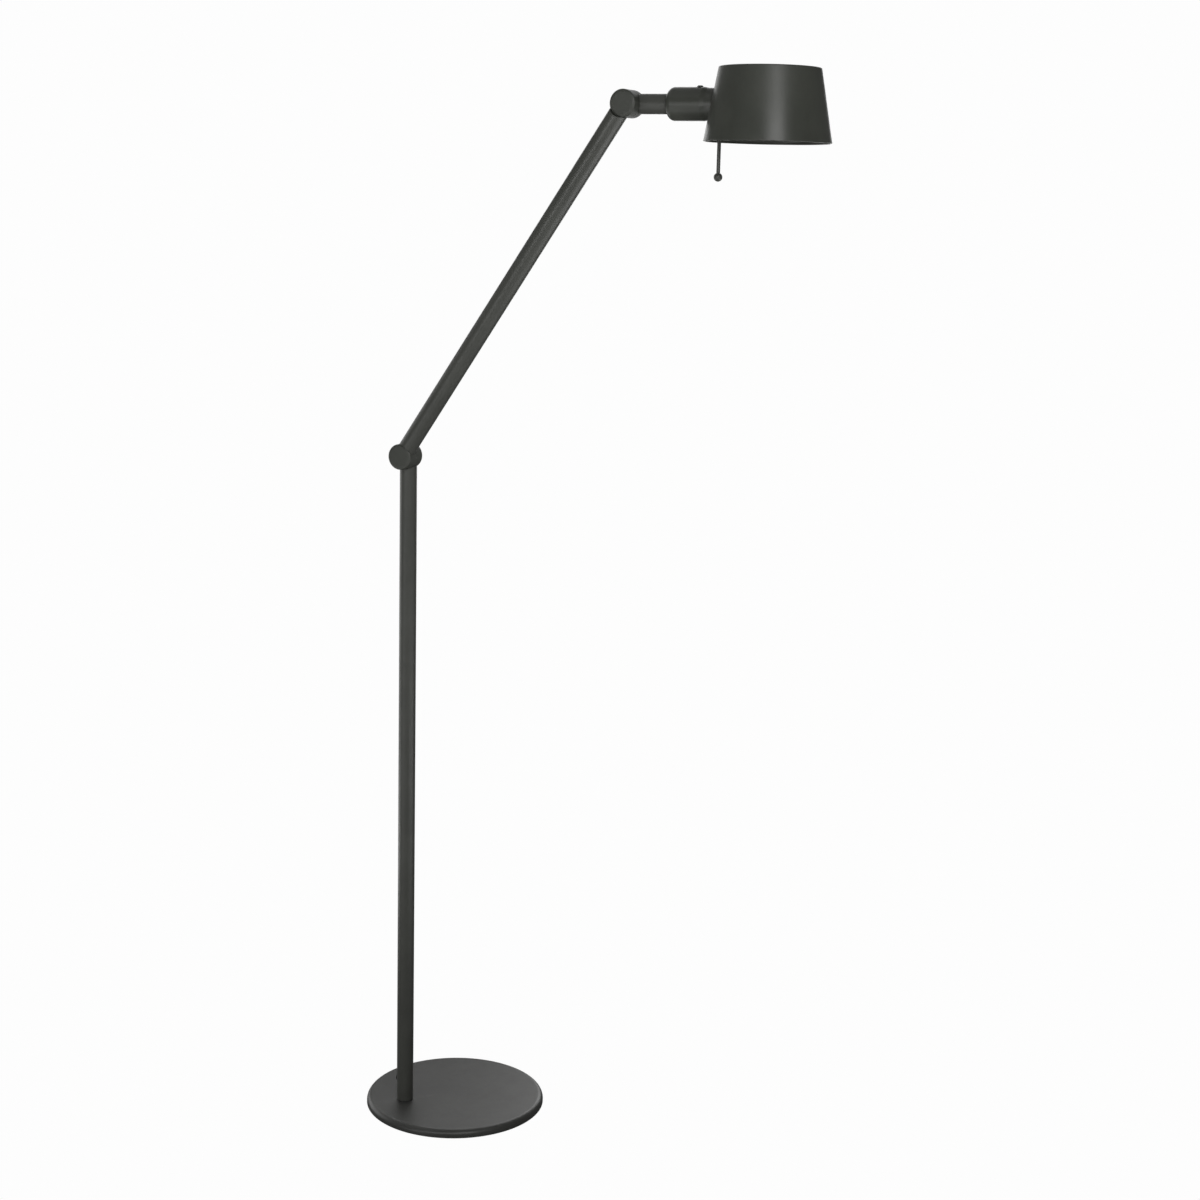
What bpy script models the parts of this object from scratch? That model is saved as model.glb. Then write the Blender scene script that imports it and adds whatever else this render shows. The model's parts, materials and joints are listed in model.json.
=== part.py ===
"""Adjustable arm floor lamp: a round weighted base, an off-centre pole that swivels in it,
an arm on a friction knuckle, and a head on a second knuckle that also rolls on its neck.

Units are metres, +Z up. The origin is on the floor at the middle of the base. The arm swings
in a plane parallel to XZ, so both knuckles turn about lines parallel to Y.
"""

from math import asin, cos, degrees, pi, radians, sin, sqrt

import bmesh
import bpy
from mathutils import Matrix, Vector

# ---------------------------------------------------------------- driving dimensions
MM = 0.001
GAP = 0.3 * MM                      # clearance between pieces that touch

BASE_RADIUS = 136.5 * MM
BASE_TOP = 12.0 * MM
COVER_WALL = 1.5 * MM
COVER_EDGE = 8.0 * MM               # rounding of the cover's rim
RIM_LOW = 0.3 * MM                  # the cover's lower edge, just clear of the floor
FELT_RADIUS = 131.0 * MM
FELT_THICKNESS = 1.5 * MM

POLE_X = -57.0 * MM                 # the pole stands off-centre on the base
POLE_Y = -57.0 * MM
POLE_RADIUS = 12.5 * MM
ARM_RADIUS = 13.0 * MM
NECK_RADIUS = 13.3 * MM
TUBE_WALL = 1.5 * MM

LOWER_PIVOT_HEIGHT = 1010.0 * MM
ARM_LENGTH = 600.0 * MM             # pivot to pivot
ARM_TILT = radians(34.25)           # from the vertical, in the stored pose

DRUM_RADIUS = 18.5 * MM
DRUM_THICKNESS = 18.4 * MM          # one half-knuckle, mating plane to outer face
MOUTH_RADIUS = DRUM_RADIUS + GAP    # the fish-mouth that each tube end is cut to

SPINDLE_RADIUS = 5.0 * MM           # hollow M10 x 1 spindle in every pivot
SPINDLE_BORE = 3.6 * MM
LEAD_RADIUS = 1.8 * MM

HOUSING_START = 57.0 * MM           # along the neck, from the upper pivot
HOUSING_END = 107.5 * MM
HOUSING_RADIUS = 22.0 * MM
HOUSING_WALL = 1.5 * MM
HOUSING_SHOULDER = 9.0 * MM
SLEEVE_RADIUS = 19.0 * MM

SHADE_CENTRE = 197.0 * MM           # along the neck, from the upper pivot
SHADE_TOP_RADIUS = 66.5 * MM
SHADE_BOTTOM_RADIUS = 84.0 * MM
SHADE_HEIGHT = 95.0 * MM
SHADE_WALL = 1.0 * MM
SHADE_EDGE = 2.5 * MM
SHADE_DROP = 1.2 * MM               # the shade's middle hangs a little below the neck's line

ROD_OFFSET = 129.5 * MM             # the pull rod, along the neck from the upper pivot
ROD_RADIUS = 2.5 * MM
BALL_RADIUS = 5.9 * MM
BALL_DROP = 93.7 * MM               # ball centre below the neck's axis

WIDE_STEPS = 40                     # segments of the base and the shade
STEPS = 24                          # segments of a tube or a drum
SMALL_STEPS = 12

# ---------------------------------------------------------------- worked-out places
POLE_FOOT = Vector((POLE_X, POLE_Y, BASE_TOP))
LOWER_PIVOT = Vector((POLE_X, POLE_Y, LOWER_PIVOT_HEIGHT))
ARM_DIRECTION = Vector((sin(ARM_TILT), 0.0, cos(ARM_TILT)))
UPPER_PIVOT = LOWER_PIVOT + ARM_DIRECTION * ARM_LENGTH
HALF = DRUM_THICKNESS / 2           # from the mating plane to a tube's axis
ARM_Y = POLE_Y - DRUM_THICKNESS
MATING_Y = POLE_Y - HALF

# ---------------------------------------------------------------- collections and materials


def clear_scene():
    for old in list(bpy.data.objects):
        bpy.data.objects.remove(old, do_unlink=True)


def new_collection(name):
    made = bpy.data.collections.new(name)
    bpy.context.scene.collection.children.link(made)
    return made


clear_scene()
LAMP = new_collection("adjustable_arm_floor_lamp")
CUTTERS = new_collection("cutters")


def material(name, colour, roughness, metallic):
    made = bpy.data.materials.new(name)
    made.use_nodes = True
    shader = made.node_tree.nodes["Principled BSDF"]
    shader.inputs["Base Color"].default_value = (*colour, 1.0)
    shader.inputs["Roughness"].default_value = roughness
    shader.inputs["Metallic"].default_value = metallic
    made.diffuse_color = (*colour, 1.0)
    return made


POWDER_COAT = material("powder_coat", (0.055, 0.058, 0.053), 0.48, 0.0)
BRIGHT_STEEL = material("zinc_plated_steel", (0.58, 0.58, 0.56), 0.32, 1.0)
CAST_IRON = material("cast_iron", (0.10, 0.10, 0.10), 0.7, 0.6)
FELT = material("felt", (0.03, 0.03, 0.032), 0.95, 0.0)
NYLON = material("nylon", (0.05, 0.05, 0.05), 0.5, 0.0)
BRASS = material("brass", (0.75, 0.55, 0.25), 0.3, 1.0)
BAKELITE = material("bakelite", (0.02, 0.02, 0.02), 0.35, 0.0)
PORCELAIN = material("porcelain", (0.85, 0.84, 0.80), 0.25, 0.0)
OPAL = material("opal_plastic", (0.93, 0.93, 0.90), 0.35, 0.0)
LEAD_COAT = material("lead_insulation", (0.04, 0.04, 0.04), 0.5, 0.0)
SPRING_STEEL = material("spring_steel", (0.45, 0.45, 0.46), 0.3, 1.0)

# ---------------------------------------------------------------- placing
# Each frame below carries local +Z onto a direction and local +X onto another.


def frame(origin, z_axis, x_axis):
    z_dir = Vector(z_axis).normalized()
    x_dir = Vector(x_axis).normalized()
    y_dir = z_dir.cross(x_dir)
    turn = Matrix((x_dir, y_dir, z_dir)).transposed().to_4x4()
    return Matrix.Translation(origin) @ turn


UPRIGHT = Matrix.Identity(4)
FOOT = frame(POLE_FOOT, (0, 0, 1), (1, 0, 0))
POLE_HALF = frame((POLE_X, MATING_Y, LOWER_PIVOT_HEIGHT), (0, 1, 0), (0, 0, -1))
ARM_LOWER_HALF = frame((POLE_X, MATING_Y, LOWER_PIVOT_HEIGHT), (0, -1, 0), ARM_DIRECTION)
ARM_UPPER_HALF = frame((UPPER_PIVOT.x, MATING_Y, UPPER_PIVOT.z), (0, -1, 0), -ARM_DIRECTION)
NECK_HALF = frame((UPPER_PIVOT.x, MATING_Y, UPPER_PIVOT.z), (0, 1, 0), (1, 0, 0))
NECK = frame(UPPER_PIVOT, (1, 0, 0), (0, 0, 1))      # local z runs along the neck, x is up
SHADE = Matrix.Translation(UPPER_PIVOT + Vector((SHADE_CENTRE, 0, -SHADE_DROP)))

# ---------------------------------------------------------------- shapes


def put(name, mesh, place, look):
    made = bpy.data.objects.new(name, mesh)
    made.matrix_world = place
    (LAMP if look else CUTTERS).objects.link(made)
    if look:
        mesh.materials.append(look)
    else:
        made.hide_render = True
        made.display_type = "WIRE"
    return made


def smooth(made):
    made.data.shade_smooth()
    made.data.set_sharp_from_angle(angle=radians(35))


def turned(name, profile, place=UPRIGHT, look=None, closed=False, steps=STEPS):
    """Turn (radius, height) points about local Z; the outer side runs from top to bottom."""
    count = len(profile)
    edges = [(i, i + 1) for i in range(count - 1)]
    if closed:
        edges.append((count - 1, 0))
    mesh = bpy.data.meshes.new(name)
    mesh.from_pydata([(radius, 0.0, height) for radius, height in profile], edges, [])
    made = put(name, mesh, place, look)
    spin = made.modifiers.new("turn", "SCREW")
    spin.axis = "Z"
    spin.angle = 2 * pi
    spin.steps = steps
    spin.render_steps = steps
    spin.use_merge_vertices = True
    spin.merge_threshold = 0.000001
    spin.use_smooth_shade = True
    return made


def ring(name, inner, outer, low, high, place=UPRIGHT, look=None, steps=STEPS):
    profile = [(outer, high), (outer, low), (inner, low), (inner, high)]
    return turned(name, profile, place, look, closed=True, steps=steps)


def rod(name, radius, low, high, place=UPRIGHT, look=None, steps=SMALL_STEPS, chamfer=0.0):
    profile = [(0.0, high), (radius - chamfer, high), (radius, high - chamfer)]
    profile += [(radius, low + chamfer), (radius - chamfer, low), (0.0, low)]
    if chamfer == 0.0:
        profile = [(0.0, high), (radius, high), (radius, low), (0.0, low)]
    return turned(name, profile, place, look, steps=steps)


def box(name, low, high, place=UPRIGHT, look=None):
    mesh = bpy.data.meshes.new(name)
    work = bmesh.new()
    bmesh.ops.create_cube(work, size=1.0)
    size = Vector(high) - Vector(low)
    middle = (Vector(high) + Vector(low)) / 2
    bmesh.ops.scale(work, vec=size, verts=work.verts)
    bmesh.ops.translate(work, vec=middle, verts=work.verts)
    work.to_mesh(mesh)
    work.free()
    return put(name, mesh, place, look)


def prism(name, outline, low, high, place=UPRIGHT, look=None):
    """A flat outline of (x, y) points, counter-clockwise, raised from low to high."""
    mesh = bpy.data.meshes.new(name)
    work = bmesh.new()
    face = work.faces.new([work.verts.new((x, y, low)) for x, y in outline])
    raised = bmesh.ops.extrude_face_region(work, geom=[face])["geom"]
    tops = [part for part in raised if isinstance(part, bmesh.types.BMVert)]
    bmesh.ops.translate(work, vec=(0, 0, high - low), verts=tops)
    bmesh.ops.recalc_face_normals(work, faces=work.faces)
    work.to_mesh(mesh)
    work.free()
    return put(name, mesh, place, look)


def arc(radius, start, end, count):
    return [(radius * cos(radians(start + (end - start) * i / count)),
             radius * sin(radians(start + (end - start) * i / count))) for i in range(count + 1)]


def arc_slot(name, inner, outer, start, end, low, high, place):
    """A cutter shaped as a curved slot between two angles, in degrees from local +X."""
    count = max(6, int((end - start) / 20))
    outline = arc(outer, start, end, count) + arc(inner, end, start, count)
    return prism(name, outline, low, high, place)


def cut(made, *cutters):
    for cutter in cutters:
        step = made.modifiers.new("cut", "BOOLEAN")
        step.operation = "DIFFERENCE"
        step.solver = "EXACT"
        step.object = cutter


def join(made, *others):
    for other in others:
        step = made.modifiers.new("join", "BOOLEAN")
        step.operation = "UNION"
        step.solver = "EXACT"
        step.object = other


def hex_nut(name, across_flats, low, high, place, bore=SPINDLE_RADIUS + GAP):
    corner = across_flats / 2 / cos(pi / 6)
    made = prism(name, arc(corner, 0, 300, 5), low, high, place, BRIGHT_STEEL)
    cut(made, rod(name + "_bore", bore, low - MM, high + MM, place))
    return made


def rounded(radius, edge, height, sign, steps=4):
    """Points of a quarter-round from the face at height to the side, for a turned profile."""
    points = []
    for i in range(steps + 1):
        turn = pi / 2 * i / steps
        points.append((radius - edge + edge * sin(turn), height - sign * edge * (1 - cos(turn))))
    return points


def smooth_path(points, per_span=5):
    """A Catmull-Rom curve read through the given points."""
    ends = [points[0] * 2 - points[1]] + points + [points[-1] * 2 - points[-2]]
    path = []
    for i in range(1, len(ends) - 2):
        before, start, end, after = ends[i - 1], ends[i], ends[i + 1], ends[i + 2]
        for k in range(per_span):
            t = k / per_span
            path.append(0.5 * (2 * start + (end - before) * t
                               + (2 * before - 5 * start + 4 * end - after) * t * t
                               + (3 * start - before - 3 * end + after) * t ** 3))
    return path + [points[-1]]


def wire(name, path, radius, look, resolution=2):
    data = bpy.data.curves.new(name, "CURVE")
    data.dimensions = "3D"
    data.bevel_depth = radius
    data.bevel_resolution = resolution
    data.use_fill_caps = True
    data.materials.append(look)
    line = data.splines.new("POLY")
    line.points.add(len(path) - 1)
    for point, place in zip(line.points, path):
        point.co = (*place, 1.0)
    made = bpy.data.objects.new(name, data)
    LAMP.objects.link(made)
    return made


# ---------------------------------------------------------------- base
SPINDLE_HOLE = SPINDLE_RADIUS + GAP
FOOT_PIN_OFFSET = 8.4 * MM
FOOT_PIN_RADIUS = 1.2 * MM
FOOT_PIN_ANGLE = 225.0              # the stop is behind the pole, over the nearest rim
FOOT_TRAVEL = 140.0                 # each way from the pose that points over the base
FOOT_STOP_MARGIN = 2.0              # degrees left between the tongue and the stop at a limit
COUNTERBORE_RADIUS = 13.5 * MM
COUNTERBORE_TOP = 7.0 * MM
BALLAST_RADIUS = 134.0 * MM
BALLAST_CHAMFER = 5.0 * MM          # follows the inside of the cover's rounded rim


def foot_pin_place():
    turn = radians(FOOT_PIN_ANGLE)
    offset = Vector((cos(turn), sin(turn), 0)) * FOOT_PIN_OFFSET
    return Matrix.Translation((POLE_X + offset.x, POLE_Y + offset.y, 0))


def build_base():
    inner_top = BASE_TOP - COVER_WALL
    profile = [(0.0, BASE_TOP)] + rounded(BASE_RADIUS, COVER_EDGE, BASE_TOP, 1, 4)
    profile += [(BASE_RADIUS, RIM_LOW), (BASE_RADIUS - COVER_WALL, RIM_LOW)]
    inner_edge = COVER_EDGE - COVER_WALL
    profile += reversed(rounded(BASE_RADIUS - COVER_WALL, inner_edge, inner_top, 1, 4))
    profile.append((0.0, inner_top))
    cover = turned("base_cover", profile, look=POWDER_COAT, steps=WIDE_STEPS)
    centre = Matrix.Translation((POLE_X, POLE_Y, 0))
    pin = foot_pin_place()
    pin_hole = rod("foot_pin_hole", FOOT_PIN_RADIUS + GAP, 0, 16 * MM, pin)
    cut(cover, rod("cover_hole", SPINDLE_HOLE, 0, 20 * MM, centre), pin_hole)

    low, high = FELT_THICKNESS + GAP, inner_top - GAP
    shoulder = BALLAST_RADIUS - BALLAST_CHAMFER
    ballast = turned("ballast_disc", [(0.0, high), (shoulder, high),
                                      (BALLAST_RADIUS, high - BALLAST_CHAMFER),
                                      (BALLAST_RADIUS, low), (0.0, low)],
                     look=CAST_IRON, steps=WIDE_STEPS)
    cut(ballast,
        rod("ballast_hole", SPINDLE_HOLE, 0, 20 * MM, centre),
        rod("ballast_counterbore", COUNTERBORE_RADIUS, 0, COUNTERBORE_TOP, centre, steps=16),
        pin_hole)

    felt = rod("base_felt", FELT_RADIUS, 0, FELT_THICKNESS, look=FELT, steps=WIDE_STEPS)
    cut(felt, rod("felt_hole", COUNTERBORE_RADIUS + MM, -MM, 3 * MM, centre, steps=16))

    rod("foot_stop_pin", FOOT_PIN_RADIUS, COUNTERBORE_TOP + GAP, BASE_TOP + 2.9 * MM, pin,
        BRIGHT_STEEL, steps=12)
    washer = ring("foot_washer", SPINDLE_HOLE, POLE_RADIUS - 0.2 * MM, GAP, 1.1 * MM, FOOT, NYLON)
    cut(washer, pin_hole)


def build_foot_hardware():
    plug_radius = POLE_RADIUS - TUBE_WALL - GAP
    plug_low = 1.4 * MM
    spindle_low = -9.6 * MM
    profile = [(0.0, 22 * MM), (plug_radius - MM, 22 * MM), (plug_radius, 21 * MM),
               (plug_radius, plug_low), (SPINDLE_RADIUS, plug_low),
               (SPINDLE_RADIUS, spindle_low), (0.0, spindle_low)]
    plug = turned("foot_plug", profile, FOOT, BRIGHT_STEEL, steps=16)
    # The groove leaves a tongue, on the arm's side, that meets the stop pin at each end of the
    # travel.
    pin_half_angle = degrees(asin((FOOT_PIN_RADIUS + GAP) / FOOT_PIN_OFFSET))
    half_tongue = 180.0 - FOOT_TRAVEL - pin_half_angle - FOOT_STOP_MARGIN
    start = half_tongue
    end = 360.0 - half_tongue
    groove = arc_slot("foot_groove", FOOT_PIN_OFFSET - 1.8 * MM, FOOT_PIN_OFFSET + 1.8 * MM,
                      start, end, 0, plug_low + 2.2 * MM, FOOT)
    cut(plug, groove)

    low = COUNTERBORE_TOP - BASE_TOP
    belleville("foot_spring_washer", 10.0 * MM, low - 1.0 * MM, FOOT)
    hex_nut("foot_lock_nut", 16 * MM, low - 4.3 * MM, low - 1.3 * MM, FOOT)


def belleville(name, outer, low, place):
    """A slightly coned spring washer, 0.6 thick."""
    inner = SPINDLE_HOLE
    thick = 0.5 * MM
    profile = [(outer, low + thick), (outer, low), (inner, low + 0.15 * MM),
               (inner, low + 0.15 * MM + thick)]
    return turned(name, profile, place, SPRING_STEEL, closed=True, steps=16)


# ---------------------------------------------------------------- tubes
INLET_HEIGHT = 46.0 * MM            # the supply lead's entry, low on the back of the pole
INLET_RADIUS = 4.2 * MM


def tube(name, radius, low, high, place, cutters):
    """A tube along local Z whose ends are cut to a fish-mouth by the given cutters."""
    made = ring(name, radius - TUBE_WALL, radius, low, high, place, POWDER_COAT)
    cut(made, *cutters)
    return made


def mouth_cutter(name, place):
    """The round that both halves of a knuckle turn inside."""
    return rod(name, MOUTH_RADIUS, -60 * MM, 60 * MM, place, steps=WIDE_STEPS)


def build_tubes():
    lower = mouth_cutter("lower_mouth", POLE_HALF)
    upper = mouth_cutter("upper_mouth", NECK_HALF)
    inside = MOUTH_RADIUS - 8 * MM
    inlet = frame((POLE_X, POLE_Y, INLET_HEIGHT), (-1, 0, 0), (0, 0, 1))
    inlet_hole = rod("inlet_hole", INLET_RADIUS, 0, 20 * MM, inlet)
    tube("pole_tube", POLE_RADIUS, 1.4 * MM, LOWER_PIVOT_HEIGHT - BASE_TOP - inside, FOOT,
         [lower, inlet_hole])
    arm = frame((POLE_X, ARM_Y, LOWER_PIVOT_HEIGHT), ARM_DIRECTION, (0, 1, 0))
    tube("arm_tube", ARM_RADIUS, inside, ARM_LENGTH - inside, arm, [lower, upper])
    tube("neck_tube", NECK_RADIUS, inside, HOUSING_START - GAP, NECK, [upper])


def build_inlet_grommet():
    """A rubber bush in the pole's back; its flanges hold it on both sides of the wall."""
    place = frame((POLE_X, POLE_Y, INLET_HEIGHT), (-1, 0, 0), (0, 0, 1))
    groove = INLET_RADIUS - GAP
    bore = 2.4 * MM
    wall_out = POLE_RADIUS + 0.25 * MM
    wall_in = POLE_RADIUS - TUBE_WALL - 1.0 * MM
    face = wall_out + 0.5 * MM
    profile = [(groove + 0.4 * MM, face), (groove + 0.9 * MM, wall_out + 0.2 * MM),
               (groove + 0.9 * MM, wall_out), (groove, wall_out), (groove, wall_in),
               (groove, wall_in - 1.2 * MM), (bore, wall_in - 1.2 * MM), (bore, face)]
    turned("cord_grommet", profile, place, NYLON, closed=True, steps=SMALL_STEPS)


# ---------------------------------------------------------------- knuckles
# A half-knuckle in its own frame: local Z is the pivot line, from the mating plane outwards,
# and the tube that it carries runs along local +X at the height HALF.
SHELL = 2.5 * MM
FLOOR_TOP = 2.7 * MM
CUP_TOP = 15.7 * MM
RECESS_RADIUS = 9.7 * MM
CROWN_WIDTH = 5.0 * MM              # the cap's face falls off to its edge over this width
CROWN_DEPTH = 2.2 * MM
STOP_OFFSET = 12.0 * MM
STOP_RADIUS = 1.4 * MM
STOP_MARGIN = 2.0                   # degrees between a stop pin and its slot's end at a limit
LOWER_RANGE = (-84.0, 75.0)         # degrees about +Y, from the stored pose
UPPER_RANGE = (-80.0, 58.0)
NECK_ROLL = 120.0


def half_knuckle(name, place, tube_radius, cap_name):
    """A cup with a stub for its tube, closed by a cap that makes the drum's outer face."""
    edge = 0.7 * MM
    rim = 0.2 * MM
    profile = [(DRUM_RADIUS - SHELL, CUP_TOP), (DRUM_RADIUS, CUP_TOP), (DRUM_RADIUS, rim + edge),
               (DRUM_RADIUS - edge, rim), (RECESS_RADIUS, rim), (RECESS_RADIUS, rim + 0.5 * MM),
               (SPINDLE_HOLE, rim + 0.5 * MM), (SPINDLE_HOLE, FLOOR_TOP),
               (DRUM_RADIUS - SHELL, FLOOR_TOP)]
    cup = turned(name, profile, place, POWDER_COAT, closed=True)
    along = place @ frame((0, 0, HALF), (1, 0, 0), (0, 0, 1))
    plug = tube_radius - TUBE_WALL - GAP
    stub = rod(name + "_plug", plug, 10 * MM, 40 * MM, along, steps=16)
    cut(stub, mouth_cutter(name + "_plug_mouth", place))
    web = box(name + "_web", (DRUM_RADIUS - SHELL / 2, -7.5 * MM, 1.9 * MM),
              (24 * MM, 7.5 * MM, CUP_TOP - 0.4 * MM), place)
    bore = rod(name + "_bore", 4.6 * MM, 9 * MM, 50 * MM, along)
    join(stub, web)
    join(cup, stub)
    cut(cup, bore)

    cap_low = CUP_TOP + GAP
    crown = [(DRUM_RADIUS - CROWN_WIDTH * (1 - cos(turn)),
              DRUM_THICKNESS - CROWN_DEPTH * (1 - sin(turn)))
             for turn in (radians(90 - 22.5 * k) for k in range(5))]
    skirt = DRUM_RADIUS - SHELL - GAP
    cap_profile = [(0.0, DRUM_THICKNESS)] + crown
    cap_profile += [(DRUM_RADIUS, cap_low), (skirt, cap_low), (skirt, cap_low - 2.6 * MM),
                    (skirt - 1.6 * MM, cap_low - 2.6 * MM), (skirt - 1.6 * MM, cap_low),
                    (0.0, cap_low)]
    cap = turned(cap_name, cap_profile, place, POWDER_COAT)
    # The skirt is open where the lead comes out of the tube.
    cut(cap, box(cap_name + "_gate", (8 * MM, -7 * MM, 5 * MM), (20 * MM, 7 * MM, cap_low), place))
    return cup


def pivot_set(prefix, pin_half, slot_half, slot_cup, pin_cup, slot_start, slot_end):
    """The hollow spindle, its nuts and washers, and the pin that limits the travel."""
    reach = 7.6 * MM
    ring(prefix + "_spindle", SPINDLE_BORE, SPINDLE_RADIUS, -reach, reach, pin_half, BRASS,
         steps=SMALL_STEPS)
    ring(prefix + "_friction_washer", SPINDLE_HOLE, 9.3 * MM, -0.4 * MM, 0.4 * MM, pin_half, NYLON,
         steps=16)
    hex_nut(prefix + "_fixed_nut", 14 * MM, FLOOR_TOP + GAP, FLOOR_TOP + 3.3 * MM, pin_half)
    belleville(prefix + "_spring_washer", 8.6 * MM, FLOOR_TOP + GAP, slot_half)
    hex_nut(prefix + "_lock_nut", 14 * MM, FLOOR_TOP + 1.3 * MM, FLOOR_TOP + 4.3 * MM, slot_half)
    pin_place = pin_half @ Matrix.Translation((-STOP_OFFSET, 0, 0))
    rod(prefix + "_stop_pin", STOP_RADIUS, -2.2 * MM, FLOOR_TOP + 1.2 * MM, pin_place,
        BRIGHT_STEEL, steps=12)
    cut(pin_cup, rod(prefix + "_pin_hole", STOP_RADIUS + GAP, -MM, 6 * MM, pin_place, steps=12))
    cut(slot_cup, arc_slot(prefix + "_slot", STOP_OFFSET - STOP_RADIUS - GAP,
                           STOP_OFFSET + STOP_RADIUS + GAP, slot_start, slot_end, -MM, 6 * MM,
                           slot_half))


def slot_limits(pin_half, slot_half, lowest, highest):
    """The slot's two end angles in its own half, for a joint that turns about +Y.

    A half that faces -Y sees a turn about +Y as a turn the other way.
    """
    pin = slot_half.inverted() @ (pin_half @ Vector((-STOP_OFFSET, 0, 0)))
    rest = degrees(pin.xy.to_3d().angle(Vector((1, 0, 0)), 0.0))
    rest = rest if pin.y >= 0 else -rest
    margin = degrees(asin((STOP_RADIUS + GAP) / STOP_OFFSET)) + STOP_MARGIN
    facing = (slot_half.to_3x3() @ Vector((0, 0, 1))).y
    # The slot half turns by the joint angle, so the pin moves the other way inside it.
    ends = sorted((rest - facing * lowest, rest - facing * highest))
    return ends[0] - margin, ends[1] + margin


def build_knuckles():
    pole_cup = half_knuckle("pole_knuckle", POLE_HALF, POLE_RADIUS, "pole_knuckle_cap")
    arm_low_cup = half_knuckle("arm_lower_knuckle", ARM_LOWER_HALF, ARM_RADIUS,
                               "arm_lower_knuckle_cap")
    arm_high_cup = half_knuckle("arm_upper_knuckle", ARM_UPPER_HALF, ARM_RADIUS,
                                "arm_upper_knuckle_cap")
    neck_cup = half_knuckle("neck_knuckle", NECK_HALF, NECK_RADIUS, "neck_knuckle_cap")
    limits = slot_limits(POLE_HALF, ARM_LOWER_HALF, *LOWER_RANGE)
    pivot_set("lower", POLE_HALF, ARM_LOWER_HALF, arm_low_cup, pole_cup, *limits)
    # The neck's half turns on the arm's, so the arm's half holds the pin.
    limits = slot_limits(ARM_UPPER_HALF, NECK_HALF, *UPPER_RANGE)
    pivot_set("upper", ARM_UPPER_HALF, NECK_HALF, neck_cup, arm_high_cup, *limits)


# ---------------------------------------------------------------- head
HOUSING_FLOOR = 2.5 * MM
HEAD_STOP_OFFSET = 9.4 * MM
HEAD_STOP_RADIUS = 1.0 * MM
HEAD_STOP_HOLE = HEAD_STOP_RADIUS + GAP
SCREW_PLACE = 100.2 * MM            # the clamp screw's place along the neck


def build_neck_end():
    plug = NECK_RADIUS - TUBE_WALL - GAP
    face = HOUSING_START - GAP
    neck_plug = ring("neck_plug", SPINDLE_HOLE, plug, face - 9 * MM, face - 1.0 * MM, NECK,
                     BRIGHT_STEEL, steps=16)
    ring("head_spindle", SPINDLE_BORE, SPINDLE_RADIUS, face - 10 * MM, face + 10.5 * MM, NECK,
         BRASS, steps=SMALL_STEPS)
    ring("head_friction_washer", SPINDLE_HOLE, 7.3 * MM, face - 0.7 * MM, face, NECK, NYLON,
         steps=16)
    low = HOUSING_START + HOUSING_FLOOR + GAP
    belleville("head_spring_washer", 8.0 * MM, low, NECK)
    hex_nut("head_lock_nut", 14 * MM, low + 1.0 * MM, low + 4.0 * MM, NECK)
    pin_place = NECK @ Matrix.Translation((HEAD_STOP_OFFSET, 0, 0))
    rod("head_stop_pin", HEAD_STOP_RADIUS, face - 6 * MM, HOUSING_START + HOUSING_FLOOR - 0.4 * MM,
        pin_place, BRIGHT_STEEL, steps=12)
    cut(neck_plug, rod("head_pin_hole", HEAD_STOP_HOLE, 0, HOUSING_START, pin_place, steps=12))


def build_housing():
    outer = [(HOUSING_RADIUS, HOUSING_END), (HOUSING_RADIUS, HOUSING_START + HOUSING_SHOULDER)]
    for i in range(1, 4):
        turn = pi / 2 * i / 3
        outer.append((HOUSING_RADIUS - HOUSING_SHOULDER * (1 - cos(turn)),
                      HOUSING_START + HOUSING_SHOULDER * (1 - sin(turn))))
    inside = HOUSING_RADIUS - HOUSING_WALL
    curve = HOUSING_SHOULDER - HOUSING_WALL
    inner_low = HOUSING_START + HOUSING_FLOOR
    profile = outer + [(SPINDLE_HOLE, HOUSING_START), (SPINDLE_HOLE, inner_low)]
    for i in range(3, -1, -1):
        turn = pi / 2 * i / 3
        profile.append((inside - curve * (1 - cos(turn)), inner_low + curve * (1 - sin(turn))))
    profile.append((inside, HOUSING_END))
    housing = turned("head_housing", profile, NECK, POWDER_COAT, closed=True)
    margin = degrees(asin(HEAD_STOP_HOLE / HEAD_STOP_OFFSET)) + STOP_MARGIN
    slot = arc_slot("head_slot", HEAD_STOP_OFFSET - 1.4 * MM, HEAD_STOP_OFFSET + 1.4 * MM,
                    -NECK_ROLL - margin, NECK_ROLL + margin, HOUSING_START - MM,
                    inner_low + MM, NECK)
    screw = frame(UPPER_PIVOT + Vector((SCREW_PLACE, 0, 0)), (0, 0, 1), (1, 0, 0))
    cut(housing, slot, rod("clamp_hole", 2.0 * MM + GAP, 0, 40 * MM, screw))

    head_low = HOUSING_RADIUS + 0.1 * MM
    head_top = HOUSING_RADIUS + 1.9 * MM
    head = [(0.0, head_top), (2.6 * MM, head_top), (3.7 * MM, head_top - 0.5 * MM),
            (4.3 * MM, head_low + 0.4 * MM), (4.3 * MM, head_low),
            (2.0 * MM, head_low), (2.0 * MM, SLEEVE_RADIUS + GAP), (0.0, SLEEVE_RADIUS + GAP)]
    clamp = turned("clamp_screw", head, screw, POWDER_COAT, steps=SMALL_STEPS)
    hexagon = arc(1.3 * MM, 0, 300, 5)
    cut(clamp, prism("clamp_socket", hexagon, head_top - 1.0 * MM, head_top + MM, screw),
        rod("clamp_relief", HOUSING_RADIUS + 0.15 * MM, 60 * MM, 130 * MM, NECK, steps=STEPS))
    shank = rod("clamp_shank", 2.0 * MM, SLEEVE_RADIUS + GAP, HOUSING_RADIUS + 0.6 * MM, screw)
    join(clamp, shank)


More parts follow.
